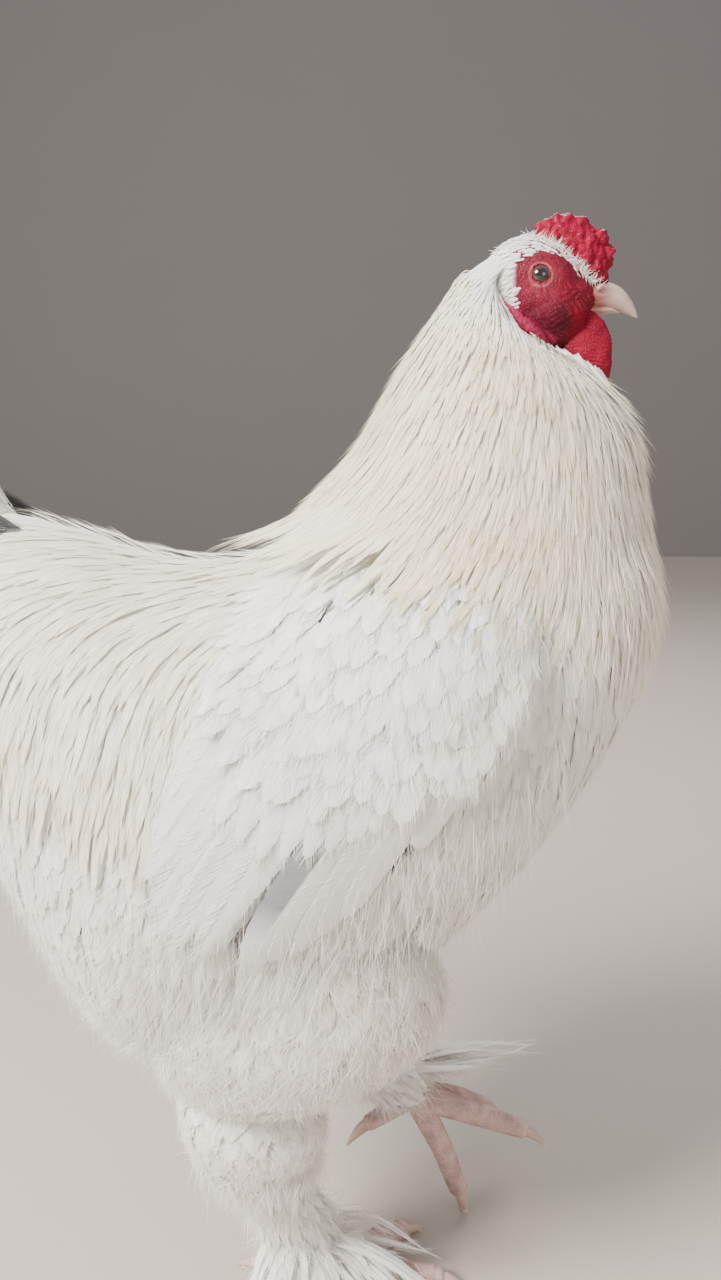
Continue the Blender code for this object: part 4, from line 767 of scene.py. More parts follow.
SKIN_DEPTH = {"torso": 0.0075, "neck": 0.009, "thigh": 0.008, "shank": 0.006, "tail": 0.004}


def tree_of(obj):
    bm = bmesh.new()
    bm.from_mesh(obj.data)
    tree = BVHTree.FromBMesh(bm)
    bm.free()
    return tree


def pad_arrays(side):
    """The flesh of a closed wing: a low dome on the body under the coverts."""
    levels = ((0.30, 0.95), (0.55, 0.82), (0.75, 0.60), (0.88, 0.32), (0.97, 0.0))
    edge = closed_curve(WING_PAD) - PAD.middle
    count = len(edge)
    rings = []
    for share, height in levels:
        x, z = (PAD.middle + edge * share * 0.93).T
        rings.append(on_body(x, z, np.full(count, WING_PAD_HEIGHT * height - 0.006), side))
    x, z = (PAD.middle + edge * 0.9).T
    rings.append(on_body(x, z, np.full(count, -0.030), side))
    mid = np.tile(PAD.middle, (1, 1))
    ends = [on_body(mid[:, 0], mid[:, 1], np.array([h]), side) for h in (WING_PAD_HEIGHT - 0.006, -0.030)]
    points = np.vstack([*rings, *ends])
    index = np.arange(len(rings) * count).reshape(len(rings), count)
    near, far, turn = index[:-1], index[1:], np.roll(np.arange(count), -1)
    last = len(rings) * count
    return points, np.vstack([
        np.stack([near, near[:, turn], far[:, turn]], -1).reshape(-1, 3),
        np.stack([near, far[:, turn], far], -1).reshape(-1, 3),
        np.stack([index[0][turn], index[0], np.full(count, last)], -1),
        np.stack([index[-1], index[-1][turn], np.full(count, last + 1)], -1)])


def neck_flesh():
    """The neck's table with its rings drawn in by the coat's depth, and most of all under the jaw."""
    rows = []
    for k, (x0, z0, x1, z1, half, y) in enumerate(NECK):
        if half:
            depth = min(SKIN_DEPTH["neck"] + (0.004 if k == 2 else 0), 0.42 * half)
            run = math.hypot(x0 - x1, z0 - z1)
            dx, dz = (x0 - x1) / run * depth, (z0 - z1) / run * depth
            x0, z0, x1, z1, half = x0 - dx, z0 - dz, x1 + dx, z1 + dz, half - depth
        rows.append((x0, z0, x1, z1, half, y))
    return rows


def build_skin(material):
    """All flesh as one closed surface, painted by place, with a tree of the body and one of the bare head."""
    body = solid("skin", Form(TORSO, SKIN_DEPTH["torso"]).mesh(8, 96))
    flesh = [
        Form(neck_flesh()).mesh(8, 80),
        Form(TAIL_CORE, SKIN_DEPTH["tail"]).mesh(6, 36),
        Form(RIGHT_THIGH, SKIN_DEPTH["thigh"]).mesh(8, 56),
        Form(LEFT_THIGH, SKIN_DEPTH["thigh"]).mesh(8, 56),
        Form(RIGHT_SHANK, SKIN_DEPTH["shank"]).mesh(8, 44),
        Form(LEFT_SHANK, SKIN_DEPTH["shank"]).mesh(8, 44),
        pad_arrays(-1), pad_arrays(1),
    ]
    body = combined(body, [solid("piece", arrays) for arrays in flesh])
    body_tree = tree_of(body)
    head = solid("head_skin", head_arrays())
    holes = []
    for side in (-1, 1):
        bm = bmesh.new()
        bmesh.ops.create_uvsphere(bm, u_segments=40, v_segments=24, radius=EYE_RADIUS + 0.0001)
        bmesh.ops.translate(bm, vec=(EYE_CENTRE[0], side * EYE_CENTRE[1], EYE_CENTRE[2]), verts=bm.verts)
        mesh = bpy.data.meshes.new("hole")
        bm.to_mesh(mesh)
        bm.free()
        hole = bpy.data.objects.new("hole", mesh)
        bpy.context.scene.collection.objects.link(hole)
        holes.append(hole)
    combined(head, holes, "DIFFERENCE")
    bare = [
        comb_arrays(), wattle_arrays(1), wattle_arrays(-1), lobe_arrays(1), lobe_arrays(-1),
        lid_arrays(1), lid_arrays(-1),
    ]
    combined(head, [solid("piece", arrays) for arrays in bare])
    face_tree = tree_of(head)
    toes = [tube_arrays(line, 32, 26, 0.10) for toes in (RIGHT_TOES, LEFT_TOES) for line in toes.values()]
    skin = combined(body, [head, *(solid("piece", arrays) for arrays in toes)])
    skin.name = skin.data.name = "skin"
    mesh = skin.data
    points = np.empty(3 * len(mesh.vertices))
    mesh.vertices.foreach_get("co", points)
    points = points.reshape(-1, 3)
    data = mesh.attributes.new("paint", "FLOAT_VECTOR", "POINT").data
    data.foreach_set("vector", painted(points).astype(np.float32).ravel())
    mesh.shade_smooth()
    mesh.materials.clear()
    mesh.materials.append(material)
    return body_tree, face_tree, skin


def near_line(points, line):
    """Distance from each point to a line of knots."""
    best = np.full(len(points), 1.0)
    for a, b in zip(line, line[1:]):
        a, b = np.array(a), np.array(b)
        t = np.clip((points - a) @ (b - a) / ((b - a) @ (b - a)), 0, 1)
        best = np.minimum(best, np.linalg.norm(points - a - t[:, None] * (b - a), axis=1))
    return best


def middle_line(table, mirror=1):
    return [((r[0] + r[2]) / 2, mirror * r[5], (r[1] + r[3]) / 2) for r in table]


def painted(points):
    """Skin colours by place: red face, bright comb and wattles, pink lobes, pale skin under the feathers."""
    x, y, z = points.T
    colour = np.tile(np.array((0.84, 0.80, 0.73)), (len(points), 1))

    def over(tone, weight):
        nonlocal colour
        colour = colour * (1 - weight[:, None]) + np.array(tone) * weight[:, None]

    head = near_line(points, middle_line(HEAD))
    # Bare from behind the eye forward, and below the crown's feathers.
    face = smooth(0.040, 0.034, head) * smooth(0.1085, 0.1125, x) * (z > 0.6)
    # The face's red is its own, set darker as painted shade of a head lying in partial shade; the comb's and wattles'
    # reds below are darkened the same way.
    over((0.150, 0.005, 0.019), face)
    eye = np.hypot(x - EYE_CENTRE[0], z - EYE_CENTRE[2])
    over((0.205, 0.014, 0.028), face * smooth(0.016, 0.009, eye) * 0.8)
    over((0.085, 0.004, 0.014), face * smooth(0.652, 0.640, z) * smooth(0.150, 0.143, x) * 0.85)
    over((0.20, 0.004, 0.018), face * smooth(0.010, 0.004, near_line(np.abs(points), [(0.140, 0.015, 0.655), (0.156, 0.010, 0.650)])))
    foot = np.interp(x, (0.120, 0.1388, 0.1459, 0.1555, 0.1627, 0.17), (0.6870, 0.6834, 0.6758, 0.6660, 0.6588, 0.652))
    # Comb red, set darker as painted shade.
    over((0.26, 0.0008, 0.022), smooth(-0.0015, 0.0005, z - foot) * (x > 0.119))
    wattle = [(0.150, 0.007, 0.646), (0.153, 0.007, 0.640), (0.154, 0.009, 0.630), (0.156, 0.0105, 0.620), (0.162, 0.011, 0.611)]
    # Wattle red, set darker as painted shade.
    over((0.21, 0.0008, 0.016), smooth(0.019, 0.010, near_line(np.abs(points), wattle)) * smooth(
        0.132, 0.149, x) * smooth(0.6500, 0.6440, z) * (z > 0.6))
    lobe = [(abs(a), b, c) for a, b, c in middle_line(EAR_LOBE, -1)]
    over((0.36, 0.020, 0.075), smooth(0.0066, 0.0042, near_line(np.abs(points), lobe)) * (abs(y) > 0.012))
    rim = np.abs(eye - 0.0064)
    over((0.40, 0.10, 0.10), smooth(0.0009, 0.0003, rim) * (abs(y) > 0.014) * (z > 0.6) * 0.8)
    toes = (z < 0.125) * smooth(0.0145, 0.0115, np.min([near_line(points, [k[:3] for k in line]) for t in (
        RIGHT_TOES, LEFT_TOES) for line in t.values()], axis=0))
    over((0.60, 0.40, 0.36), toes)
    return colour


# Plumage.

def profile_of(kind, stations):
    """Half width along a feather, as a share of the widest."""
    s = np.linspace(0, 1, stations)
    if kind == "pointed":
        shape = np.clip(0.50 + 1.5 * s, 0, 1) * np.clip(1 - s, 0, 1) ** 0.60 * 1.20
    elif kind == "round":
        shape = np.clip(0.45 + 1.6 * s, 0, 1) * np.sqrt(np.clip(1 - s**5, 0, 1))
    else:
        shape = np.clip(0.5 + 1.5 * s, 0, 1) * np.clip(1 - s**2.8, 0, 1) ** 0.75
    shape[-1] = 0
    return np.minimum(shape, 1)


class Coat:
    """Gathers vanes and barbs, and makes one object of them."""

    def __init__(self, name):
        self.name = name
        self.chance = np.random.default_rng(SEED + sum(map(ord, name)))
        self.points, self.tris, self.vane, self.lie, self.uv = [], [], [], [], []
        self.count = 0
        self.feathers = 0

    def take(self, points, tris, vane, lie, uv):
        per = points.shape[1]
        shift = self.count + per * np.arange(len(points))
        self.points.append(points.reshape(-1, 3))
        self.tris.append((np.array(tris)[None] + shift[:, None, None]).reshape(-1, 3))
        self.vane.append(vane.reshape(-1, 3))
        self.lie.append(lie.reshape(-1, 3))
        self.uv.append(uv.reshape(-1, 2))
        self.count += per * len(points)
        self.feathers += len(points)

    def vanes(self, centres, ups, half, kind, roots, camber=0.12, thick=0.0005, teeth=0.0, sweep=0.5, tone=None,
              fringe=0, fringe_long=0.6, splay=0.85, flip=1):
        """Closed flat feathers. centres and ups are (feathers, stations, 3); the last station is the tip.

        roots are the feathers' own places on the unwrapped skin. Teeth part the barbs near the tip into clumps, and
        fringe is how many loose barbs soften each feather's edge.
        """
        count, stations = centres.shape[:2]
        if not count:
            return
        chance = self.chance
        half = np.broadcast_to(half, (count,))
        heading = unit(np.gradient(centres, axis=1))
        ups = unit(ups - np.sum(ups * heading, -1, keepdims=True) * heading)
        side = np.cross(heading, ups)
        width = half[:, None] * profile_of(kind, stations)[None, :]
        step = np.linalg.norm(centres[:, -1] - centres[:, -2], axis=-1)[:, None]
        parted = teeth * smooth(0.3, 0.75, np.linspace(0, 1, stations))[None, :]
        edges = []
        for sign in (-1, 1):
            notch = (np.arange(stations) % 2)[None, :] * chance.uniform(0.3, 1.0, width.shape)
            reach = width * (1 - parted * notch)
            slip = sweep * step * (parted > 0.02) * (1 - notch) * chance.uniform(0.5, 1.3, width.shape)
            edges.append(centres + sign * side * reach[..., None] - ups * (camber * reach)[..., None]
                         + heading * slip[..., None])
        left, right = edges
        top = centres + ups * thick / 2
        bottom = centres - ups * (thick / 2 + 0.35 * camber * width)[..., None]
        rings = np.stack([left, top, right, bottom], 2)[:, :-1]
        points = np.concatenate([rings.reshape(count, -1, 3), centres[:, -1:]], 1)
        tris = []
        for j in range(stations - 2):
            for k in range(4):
                m = (k + 1) % 4
                tris += [(4 * j + k, 4 * j + m, 4 * j + 4 + m), (4 * j + k, 4 * j + 4 + m, 4 * j + 4 + k)]
        tip = 4 * (stations - 1)
        tris += [(tip - 4 + k, tip - 4 + (k + 1) % 4, tip) for k in range(4)]
        tris += [(0, 3, 2), (0, 2, 1)]
        length = np.cumsum(np.linalg.norm(np.diff(centres, axis=1), axis=2), axis=1)
        length = np.concatenate([np.zeros((count, 1)), length], 1)
        share = length / np.maximum(length[:, -1:], 1e-6)
        across = np.array([-1.0, 0.0, 1.0, 0.0])
        tail = np.zeros((count, 1))
        u = np.concatenate([(width[:, :-1, None] * across).reshape(count, -1), tail], 1)
        flat = np.concatenate([np.tile(across, (count, stations - 1)), tail], 1)
        v = np.concatenate([np.repeat(length[:, :-1], 4, 1), length[:, -1:]], 1)
        s = np.concatenate([np.repeat(share[:, :-1], 4, 1), tail + 1], 1)
        number = np.broadcast_to((self.feathers + np.arange(count))[:, None] * 1.37, u.shape)
        tone = chance.uniform(-1, 1, count) if tone is None else np.broadcast_to(tone, (count,))
        if fringe:
            self.fringe(centres, side, heading, ups, width, half, roots, tone, fringe, fringe_long, splay)
        tones = np.broadcast_to(tone[:, None], u.shape)
        uv = np.clip(roots, 0.003, 0.997)[:, None] + 0.003 * np.stack([flat / 2, s - 0.5], -1)
        self.take(points, tris, np.stack([flip * u / MM, v / MM, number], -1),
                  np.stack([np.abs(flat), s, tones], -1), uv)

    def fringe(self, centres, side, heading, ups, width, half, roots, tone, per, long, splay):
        """Loose barbs from each feather's outer part: off its edges, or silky along it where the splay is small."""
        chance = self.chance
        many = np.repeat(np.arange(len(centres)), per)
        stations = centres.shape[1]
        share = 1 - 0.62 * chance.uniform(0, 1, len(many)) ** 1.4
        at = np.minimum(share * (stations - 1), stations - 1.02)
        i = at.astype(int)
        t = (at - i)[:, None]
        centre, across, ahead, up, reach = (
            values[many, i] * (1 - t) + values[many, i + 1] * t for values in (centres, side, heading, ups, width[..., None]))
        sign = chance.choice((-1.0, 1.0), len(many))[:, None]
        if splay > 0.4:
            base = centre + sign * across * reach * 0.8 - up * 0.0002
        else:
            base = centre + sign * across * reach * chance.uniform(0.1, 0.95, (len(many), 1)) + up * 0.0001
        out = ahead + sign * across * splay * (1 - 0.5 * share[:, None]) + up * chance.normal(0.04, 0.06, (len(many), 1))
        length = half[many] * long * chance.uniform(0.5, 1.2, len(many))
        self.barbs(base, out, 0 * base, length, np.full(len(many), 0.00013), roots[many], tone[many], 1)

    def barbs(self, base, heading, bend, length, radius, roots, tone, segments=2):
        """Fine three-sided tapering barbs that curve from heading towards bend."""
        count = len(base)
        if not count:
            return
        heading = unit(heading)
        side = unit(np.cross(heading, np.array([0.31, 0.52, 0.79])))
        other = np.cross(heading, side)
        shares = np.arange(segments + 1) / segments
        rings = []
        for t in shares[:-1]:
            centre = base + heading * (length * t)[:, None] + bend * (length * t * t)[:, None]
            size = radius * (1 - 0.6 * t)
            for k in range(3):
                turn = 2 * math.pi * k / 3
                rings.append(centre + size[:, None] * (math.cos(turn) * side + math.sin(turn) * other))
        end = base + heading * length[:, None] + bend * length[:, None]
        points = np.stack([*rings, end], 1)
        tris = [(0, 2, 1)]
        for j in range(segments - 1):
            for k in range(3):
                m = (k + 1) % 3
                tris += [(3 * j + k, 3 * j + m, 3 * j + 3 + m), (3 * j + k, 3 * j + 3 + m, 3 * j + 3 + k)]
        last = 3 * (segments - 1)
        tris += [(last + k, last + (k + 1) % 3, last + 3) for k in range(3)]
        share = np.broadcast_to(np.append(np.repeat(shares[:-1], 3), 1.0), (count, 3 * segments + 1))
        tones = np.broadcast_to(tone[:, None], share.shape)
        none = np.zeros(share.shape)
        uv = np.clip(roots, 0.003, 0.997)[:, None] + 0.003 * np.stack([none, share - 0.5], -1)
        self.take(points, tris, np.stack([none, share * length[:, None] / MM, tones * 9], -1),
                  np.stack([none, share, tones], -1), uv)

    def finish(self, material, slot):
        points = np.vstack(self.points)
        points[:, 2] = np.maximum(points[:, 2], 0.0004)
        obj = new_object(self.name, points, np.vstack(self.tris), material,
                         {"vane": np.vstack(self.vane), "lie": np.vstack(self.lie)}, {"OFBake": np.vstack(self.uv)},
                         sharp=60)
        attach(obj, "root")
        print(f"{self.name}: {len(obj.data.polygons)} triangles")
        return obj


def scattered(form, first, last, along, around, chance, jitter=0.4):
    """Places and angles spread evenly over a form between two places, in staggered tiers."""
    places, angles = [], []
    place, tier = first, 0
    sides = np.arange(0, 360, 45.0)
    while place < last:
        step = form.frame(np.full(8, place), sides)[0]
        pace = np.mean(np.linalg.norm(step, axis=1))
        count = max(4, int(form.girth(place) / around))
        turn = 360 * (np.arange(count) + 0.5 * (tier % 2)) / count
        angles.append(turn + chance.uniform(-jitter, jitter, count) * 360 / count)
        places.append(place + chance.uniform(-jitter, jitter, count) * along / pace)
        place += along / pace
        tier += 1
    place, angle = np.concatenate(places), np.concatenate(angles)
    return np.clip(place, 0.1, form.last - 0.1), (angle + 180) % 360 - 180


def unwrapped(form, place, angle):
    return np.stack([place / form.last, ((angle + 180) % 360) / 360], -1)


def depth_in(tree, points):
    """How deep points lie under a tree's surface."""
    hits = [tree.find_nearest(Vector(q)) for q in points]
    return np.array([(hit[0] - Vector(q)).dot(hit[1]) for q, hit in zip(points, hits)])


def hugged(points, clearance, tree):
    """Moves points out of a body until they lie the clearance above it."""
    flat, wanted = points.reshape(-1, 3).copy(), np.broadcast_to(clearance, points.shape[:-1]).ravel()
    for i, point in enumerate(flat):
        place, normal, _, _ = tree.find_nearest(Vector(point))
        height = (Vector(point) - place).dot(normal)
        if height < wanted[i]:
            flat[i] = place + normal * wanted[i]
    return flat.reshape(points.shape)


def eased(centres):
    """Smooths lines along their stations, with their ends kept."""
    for _ in range(2):
        centres[:, 1:-1] = (centres[:, :-2] + 2 * centres[:, 1:-1] + centres[:, 2:]) / 4
    return centres


def plume(coat, form, rows, spacing, half, length, keep=None, flow=None, kind="soft", heights=(-0.0075, 0.0010),
          stations=8, wander=0.06, clear=None, ragged=0.0008, under=None, bend=None, **vane):
    """Lays feathers over a form: half and length are (at the first row, at the last row).

    Feathers whose tips lie inside the tree named by under are left out, and bend moves the laid lines.
    """
    chance = coat.chance
    place, angle = scattered(form, *rows, *spacing, chance)
    if keep is not None:
        good = keep(place, angle, form.surface(place, angle))
        place, angle = place[good], angle[good]
    count = len(place)
    if not count:
        return
    t = (place - rows[0]) / (rows[1] - rows[0])
    half = (half[0] + (half[1] - half[0]) * t) * chance.uniform(0.82, 1.18, count)
    length = (length[0] + (length[1] - length[0]) * t) * chance.uniform(0.78, 1.20, count)
    p, a = form.march(place, angle, length, stations, flow, chance.uniform(-1, 1, count) * wander)
    s = np.linspace(0, 1, stations)
    tips = heights[1] + chance.uniform(-ragged, ragged, count)
    h = heights[0] + (tips[:, None] - heights[0]) * smooth(0.0, 0.8, s)
    deep = 0.6 * form.row(p)[..., 4]
    h = np.maximum(h, -deep)
    centres, ups = form.point(p, a, h), form.normal(p, a)
    roots = unwrapped(form, place, angle)
    if bend is not None:
        centres = bend(centres)
    if clear is not None:
        centres = eased(hugged(centres, (clear[0] + (clear[1] - clear[0]) * s)[None, :], BODY_TREE))
    if under is not None:
        good = depth_in(under, centres[:, -1]) < 0.0005
        centres, ups, half, roots = centres[good], ups[good], half[good], roots[good]
    coat.vanes(centres, ups, half, kind, roots, **vane)


def down(coat, form, rows, spacing, length, keep=None, flow=None, per_tuft=7, lift=0.35, spread=0.5, droop=0.30,
         radius=0.00026, depth=0.005, segments=2, outward=0.0, size=None):
    """Down in tufts: each a fan of fine barbs that follows the flow, lifts off and droops."""
    chance = coat.chance
    place, angle = scattered(form, *rows, *spacing, chance)
    surface = form.surface(place, angle)
    if keep is not None:
        good = keep(place, angle, surface)
        place, angle, surface = place[good], angle[good], surface[good]
    count = len(place)
    if not count:
        return
    along, around = form.frame(place, angle)
    normal = form.normal(place, angle)
    back = unit(along if flow is None else flow(surface))
    back = unit(back - np.sum(back * normal, -1, keepdims=True) * normal)
    across = np.cross(normal, back)
    base = form.point(place, angle, np.full(count, -depth))
    many = np.repeat(np.arange(count), per_tuft)
    fan = chance.normal(0, spread, len(many))
    rise = np.abs(chance.normal(lift, 0.15, len(many))) + outward
    heading = unit(back[many] * np.cos(fan)[:, None] + across[many] * np.sin(fan)[:, None] + normal[many] * rise[:, None])
    bend = np.array([0, 0, -1.0]) * droop + normal[many] * chance.normal(-0.10, 0.08, len(many))[:, None]
    long = length * np.repeat(chance.uniform(0.75, 1.2, count), per_tuft) * chance.uniform(0.65, 1.1, len(many))
    if size is not None:
        long = long * size(surface)[many]
    start = base[many] + across[many] * (fan * 0.0025)[:, None]
    tone = np.repeat(chance.uniform(-1, 1, count), per_tuft)
    coat.barbs(start, heading, bend, long, radius * chance.uniform(0.8, 1.25, len(many)),
               unwrapped(form, place, angle)[many], tone, segments)


# How the plumage lies: directions over the body, by place.

def body_flow(points):
    x, y, z = np.moveaxis(points, -1, 0)
    high, rear = smooth(0.42, 0.525, z), smooth(0.07, -0.03, x)
    low = smooth(0.40, 0.27, z)
    back = np.stack([-(0.16 + 1.0 * high), np.sign(y) * 0.30 * high, -(1.0 - 0.75 * high)], -1)
    front = np.stack([-(0.06 + 0.75 * low), 0 * x, -np.ones_like(x)], -1)
    return back * rear[..., None] + front * (1 - rear)[..., None]


def fluff_flow(points):
    x, y, z = np.moveaxis(points, -1, 0)
    rear = smooth(-0.02, -0.16, x)
    return np.stack([-0.25 - 0.35 * rear, np.sign(y) * 0.15, -np.ones_like(x)], -1)


def leg_flow(points):
    return np.broadcast_to(np.array([-0.05, 0.0, -1.0]), points.shape)


def behind_face(points):
    """Above and behind the bare face: the crown, the band below the comb, the nape and the ear patch."""
    x, y, z = np.moveaxis(points, -1, 0)
    brow = np.interp(x, (0.098, 0.107, 0.113, 0.118, 0.1254, 0.135, 0.145, 0.152, 0.158),
                     (0.640, 0.652, 0.666, 0.6725, 0.6745, 0.6735, 0.668, 0.661, 0.655))
    comb = np.interp(x, (0.122, 0.1388, 0.1459, 0.1555, 0.1627), (0.700, 0.6834, 0.6758, 0.6660, 0.6588))
    ear = (x < 0.1195) & (z > 0.6505 - 0.34 * (x - 0.101)) & (z < 0.6600)
    return (((z > brow) | (x < 0.100)) & (z < comb)) | ear


def below_outline(centres):
    """Keeps the feathers of the crown and nape under the head's outline."""
    top = np.interp(centres[..., 0], (0.054, 0.071, 0.088, 0.1046, 0.1158, 0.130, 0.140),
                    (0.6250, 0.6490, 0.6705, 0.6825, 0.6898, 0.6950, 0.7200))
    centres[..., 2] = np.minimum(centres[..., 2], top + 0.0006)
    return centres


def bridged(coat, root, tip, half, rise, stations, trees, clear=0.0006, **vane):
    """Feathers from one form to another, kept a little above the trees on their way."""
    s = np.linspace(0, 1, stations)[None, :, None]
    centres = root[:, None] + (tip - root)[:, None] * s
    out = unit(centres - np.array([0.06, 0, 0.60]))
    centres = centres + out * rise * 4 * s * (1 - s)
    deep = np.linspace(-0.0012, clear, stations)[None, :]
    for tree in trees:
        centres = eased(hugged(centres, deep, tree))
    centres = below_outline(centres)
    ups = np.empty_like(centres)
    for index in np.ndindex(centres.shape[:2]):
        place, normal, _, _ = trees[0].find_nearest(Vector(centres[index]))
        ups[index] = normal
    coat.vanes(centres, ups, half, "pointed", np.clip(root[:, [0, 2]] * 3, 0, 3) % 1, **vane)


def head_plumage():
    coat = Coat("head_coat")
    chance = coat.chance
    form, neck = Form(HEAD), Form(NECK)

    def back_flow(points):
        x, y, z = np.moveaxis(points, -1, 0)
        rise = np.interp(x, (0.098, 0.110, 0.122, 0.135, 0.150, 0.160), (-1.0, -0.6, -0.15, 0.30, 0.75, 0.95))
        return np.stack([-np.ones_like(x), 0 * x, rise], -1)

    plume(coat, form, (0.35, 5.6), (0.0031, 0.0017), (0.0013, 0.0009), (0.010, 0.0085),
          lambda p, a, q: behind_face(q) & (q[:, 0] > 0.104), back_flow, "pointed", (-0.0008, 0.0009), 7, 0.12, None,
          0.0004, bend=below_outline, camber=0.12, thick=0.0003, teeth=0.15)
    # From the back of the skull over the start of the neck.
    count = 460
    place = chance.uniform(0.15, 2.0, count)
    angle = chance.uniform(-94, 94, count)
    root = form.point(place, angle, np.full(count, -0.0006))
    reach = np.interp(root[:, 0], (0.094, 0.118), (2.5, 1.5)) + chance.uniform(-0.25, 0.25, count)
    tip = neck.point(reach, angle * 0.95, chance.uniform(0.0002, 0.0022, count))
    half = chance.uniform(0.0010, 0.0017, count)
    own = (np.abs(angle) < 50) | (root[:, 0] < np.interp(np.abs(angle), (50, 75), (0.108, 0.1000)))
    bridged(coat, root[own], tip[own], half[own], 0.0010, 9, (NECK_TREE, FACE_TREE), camber=0.08, thick=0.0003,
            teeth=0.12, fringe=3, fringe_long=4.0, splay=0.10)
    # From the line of the jaw down over the throat.
    count = 360
    t = chance.uniform(0, 1, count)
    side = np.where(np.arange(count) % 2, 1.0, -1.0)
    knots = (0, 0.15, 0.4, 0.6, 0.8, 1.0)
    root = np.stack([np.interp(t, knots, (0.0975, 0.1040, 0.1175, 0.1300, 0.1440, 0.1620)),
                     side * np.interp(t, knots, (0.0165, 0.0200, 0.0215, 0.0205, 0.0170, 0.0140)),
                     np.interp(t, knots, (0.6450, 0.6405, 0.6300, 0.6255, 0.6205, 0.6115))], -1)
    root += chance.normal(0, 0.0009, (count, 3))
    reach = np.interp(t, knots, (2.3, 2.4, 2.6, 2.8, 3.1, 3.3)) + chance.uniform(-0.35, 0.35, count)
    turn = np.interp(t, knots, (78, 84, 102, 122, 145, 172)) + chance.normal(0, 4, count)
    tip = neck.point(reach, side * turn, chance.uniform(0.0002, 0.0024, count))
    bridged(coat, root, tip, chance.uniform(0.0011, 0.0018, count), 0.0006, 9, (FACE_TREE, NECK_TREE), camber=0.08, thick=0.0003,
            teeth=0.12, fringe=4, fringe_long=4.0, splay=0.10)
    return coat.finish(WHITE, "white_feather")


def crown_bristles():
    """Short stiff barbs along the comb's foot, and the few that stand up at the back of the crown."""
    coat = Coat("bristles")
    chance = coat.chance
    count = 520
    t = chance.uniform(0, 1, count)
    side = np.where(np.arange(count) % 2, 1, -1)
    x = np.interp(t, (0, 0.35, 0.7, 1), (0.119, 0.135, 0.150, 0.1605))
    z = np.interp(t, (0, 0.35, 0.7, 1), (0.6885, 0.6815, 0.6690, 0.6590)) - chance.uniform(0, 0.0035, count)
    y = np.interp(t, (0, 0.35, 0.7, 1), (0.006, 0.0125, 0.0120, 0.0085)) + chance.normal(0, 0.0006, count)
    base = np.stack([x, side * y, z], -1)
    heading = np.stack([chance.normal(0.25, 0.5, count), side * chance.uniform(0.3, 0.8, count), chance.uniform(-0.1, 0.9, count)], -1)
    bend = np.stack([0 * x, 0 * x, chance.normal(0.0, 0.15, count)], -1)
    coat.barbs(base, heading, bend, chance.uniform(0.003, 0.0065, count), np.full(count, 0.00017),
               np.stack([x * 3, z], -1), chance.uniform(-1, 1, count))
    count = 36
    base = np.stack([chance.uniform(0.102, 0.122, count), chance.normal(0, 0.005, count), np.zeros(count)], -1)
    base[:, 2] = np.interp(base[:, 0], (0.100, 0.110, 0.122), (0.677, 0.6835, 0.6865)) - 0.0005
    heading = np.stack([chance.normal(-1.0, 0.2, count), chance.normal(0, 0.25, count), chance.uniform(-0.4, 0.1, count)], -1)
    coat.barbs(base, heading, np.zeros((count, 3)), chance.uniform(0.004, 0.007, count), np.full(count, 0.00025),
               base[:, :2] * 3, chance.uniform(-1, 1, count))
    return coat.finish(WHITE, "white_feather")


def hackle(side):
    """The neck's long narrow feathers in many tiers, creamier towards their tips."""
    coat = Coat("hackle_left" if side > 0 else "hackle_right")
    form = Form(NECK)

    def keep(place, angle, points):
        x, y, z = points.T
        own = (angle > 0) if side > 0 else (angle <= 0)
        face = near_line(np.abs(points), [(0.103, 0.018, 0.647), (0.117, 0.021, 0.636), (0.132, 0.018, 0.626)]) < 0.0065
        wattle = (x > 0.146) & (np.abs(y) < 0.013) & (z > 0.604)
        nape = (place > np.interp(np.abs(angle), (60, 100), (5.25, 5.6)))
        return own & ~face & (depth_in(FACE_TREE, points) < -0.0008) & ~wattle & ~nape

    def flared(centres):
        """The cape's last feathers sweep out over the back."""
        x, y, z = np.moveaxis(centres, -1, 0)
        nape = smooth(0.10, 0.02, x) * smooth(0.105, 0.06, np.abs(y))
        return centres - np.stack([0.030 * smooth(0.533, 0.505, z) * nape, 0 * x, 0 * x], -1)

    plume(coat, form, (1.9, 6.0), (0.0150, 0.0105), (0.0078, 0.0078), (0.036, 0.036), keep, None, "soft",
          (-0.0050, -0.0014), 5, 0.05, None, 0.0003, bend=flared, camber=0.03)
    plume(coat, form, (0.5, 1.6), (0.0036, 0.0021), (0.0012, 0.0019), (0.018, 0.032), keep, None, "pointed",
          (-0.003, 0.0010), 7, 0.06, None, 0.0006, camber=0.08, thick=0.0004, teeth=0.12)
    def ragged(place, angle, points):
        return keep(place, angle, points) & (place < 5.6 - 0.8 * coat.chance.uniform(0, 1, len(place)) ** 2)

    plume(coat, form, (1.3, 5.6), (0.0088, 0.0031), (0.0026, 0.0036), (0.038, 0.062), ragged, None, "pointed",
          (-0.0016, 0.0010), 8, 0.07, (0.004, 0.0100), 0.0006, bend=flared, camber=0.03, thick=0.0003, teeth=0.12,
          fringe=9, fringe_long=6.0, splay=0.14)
    return coat.finish(CREAM, "cream_feather")


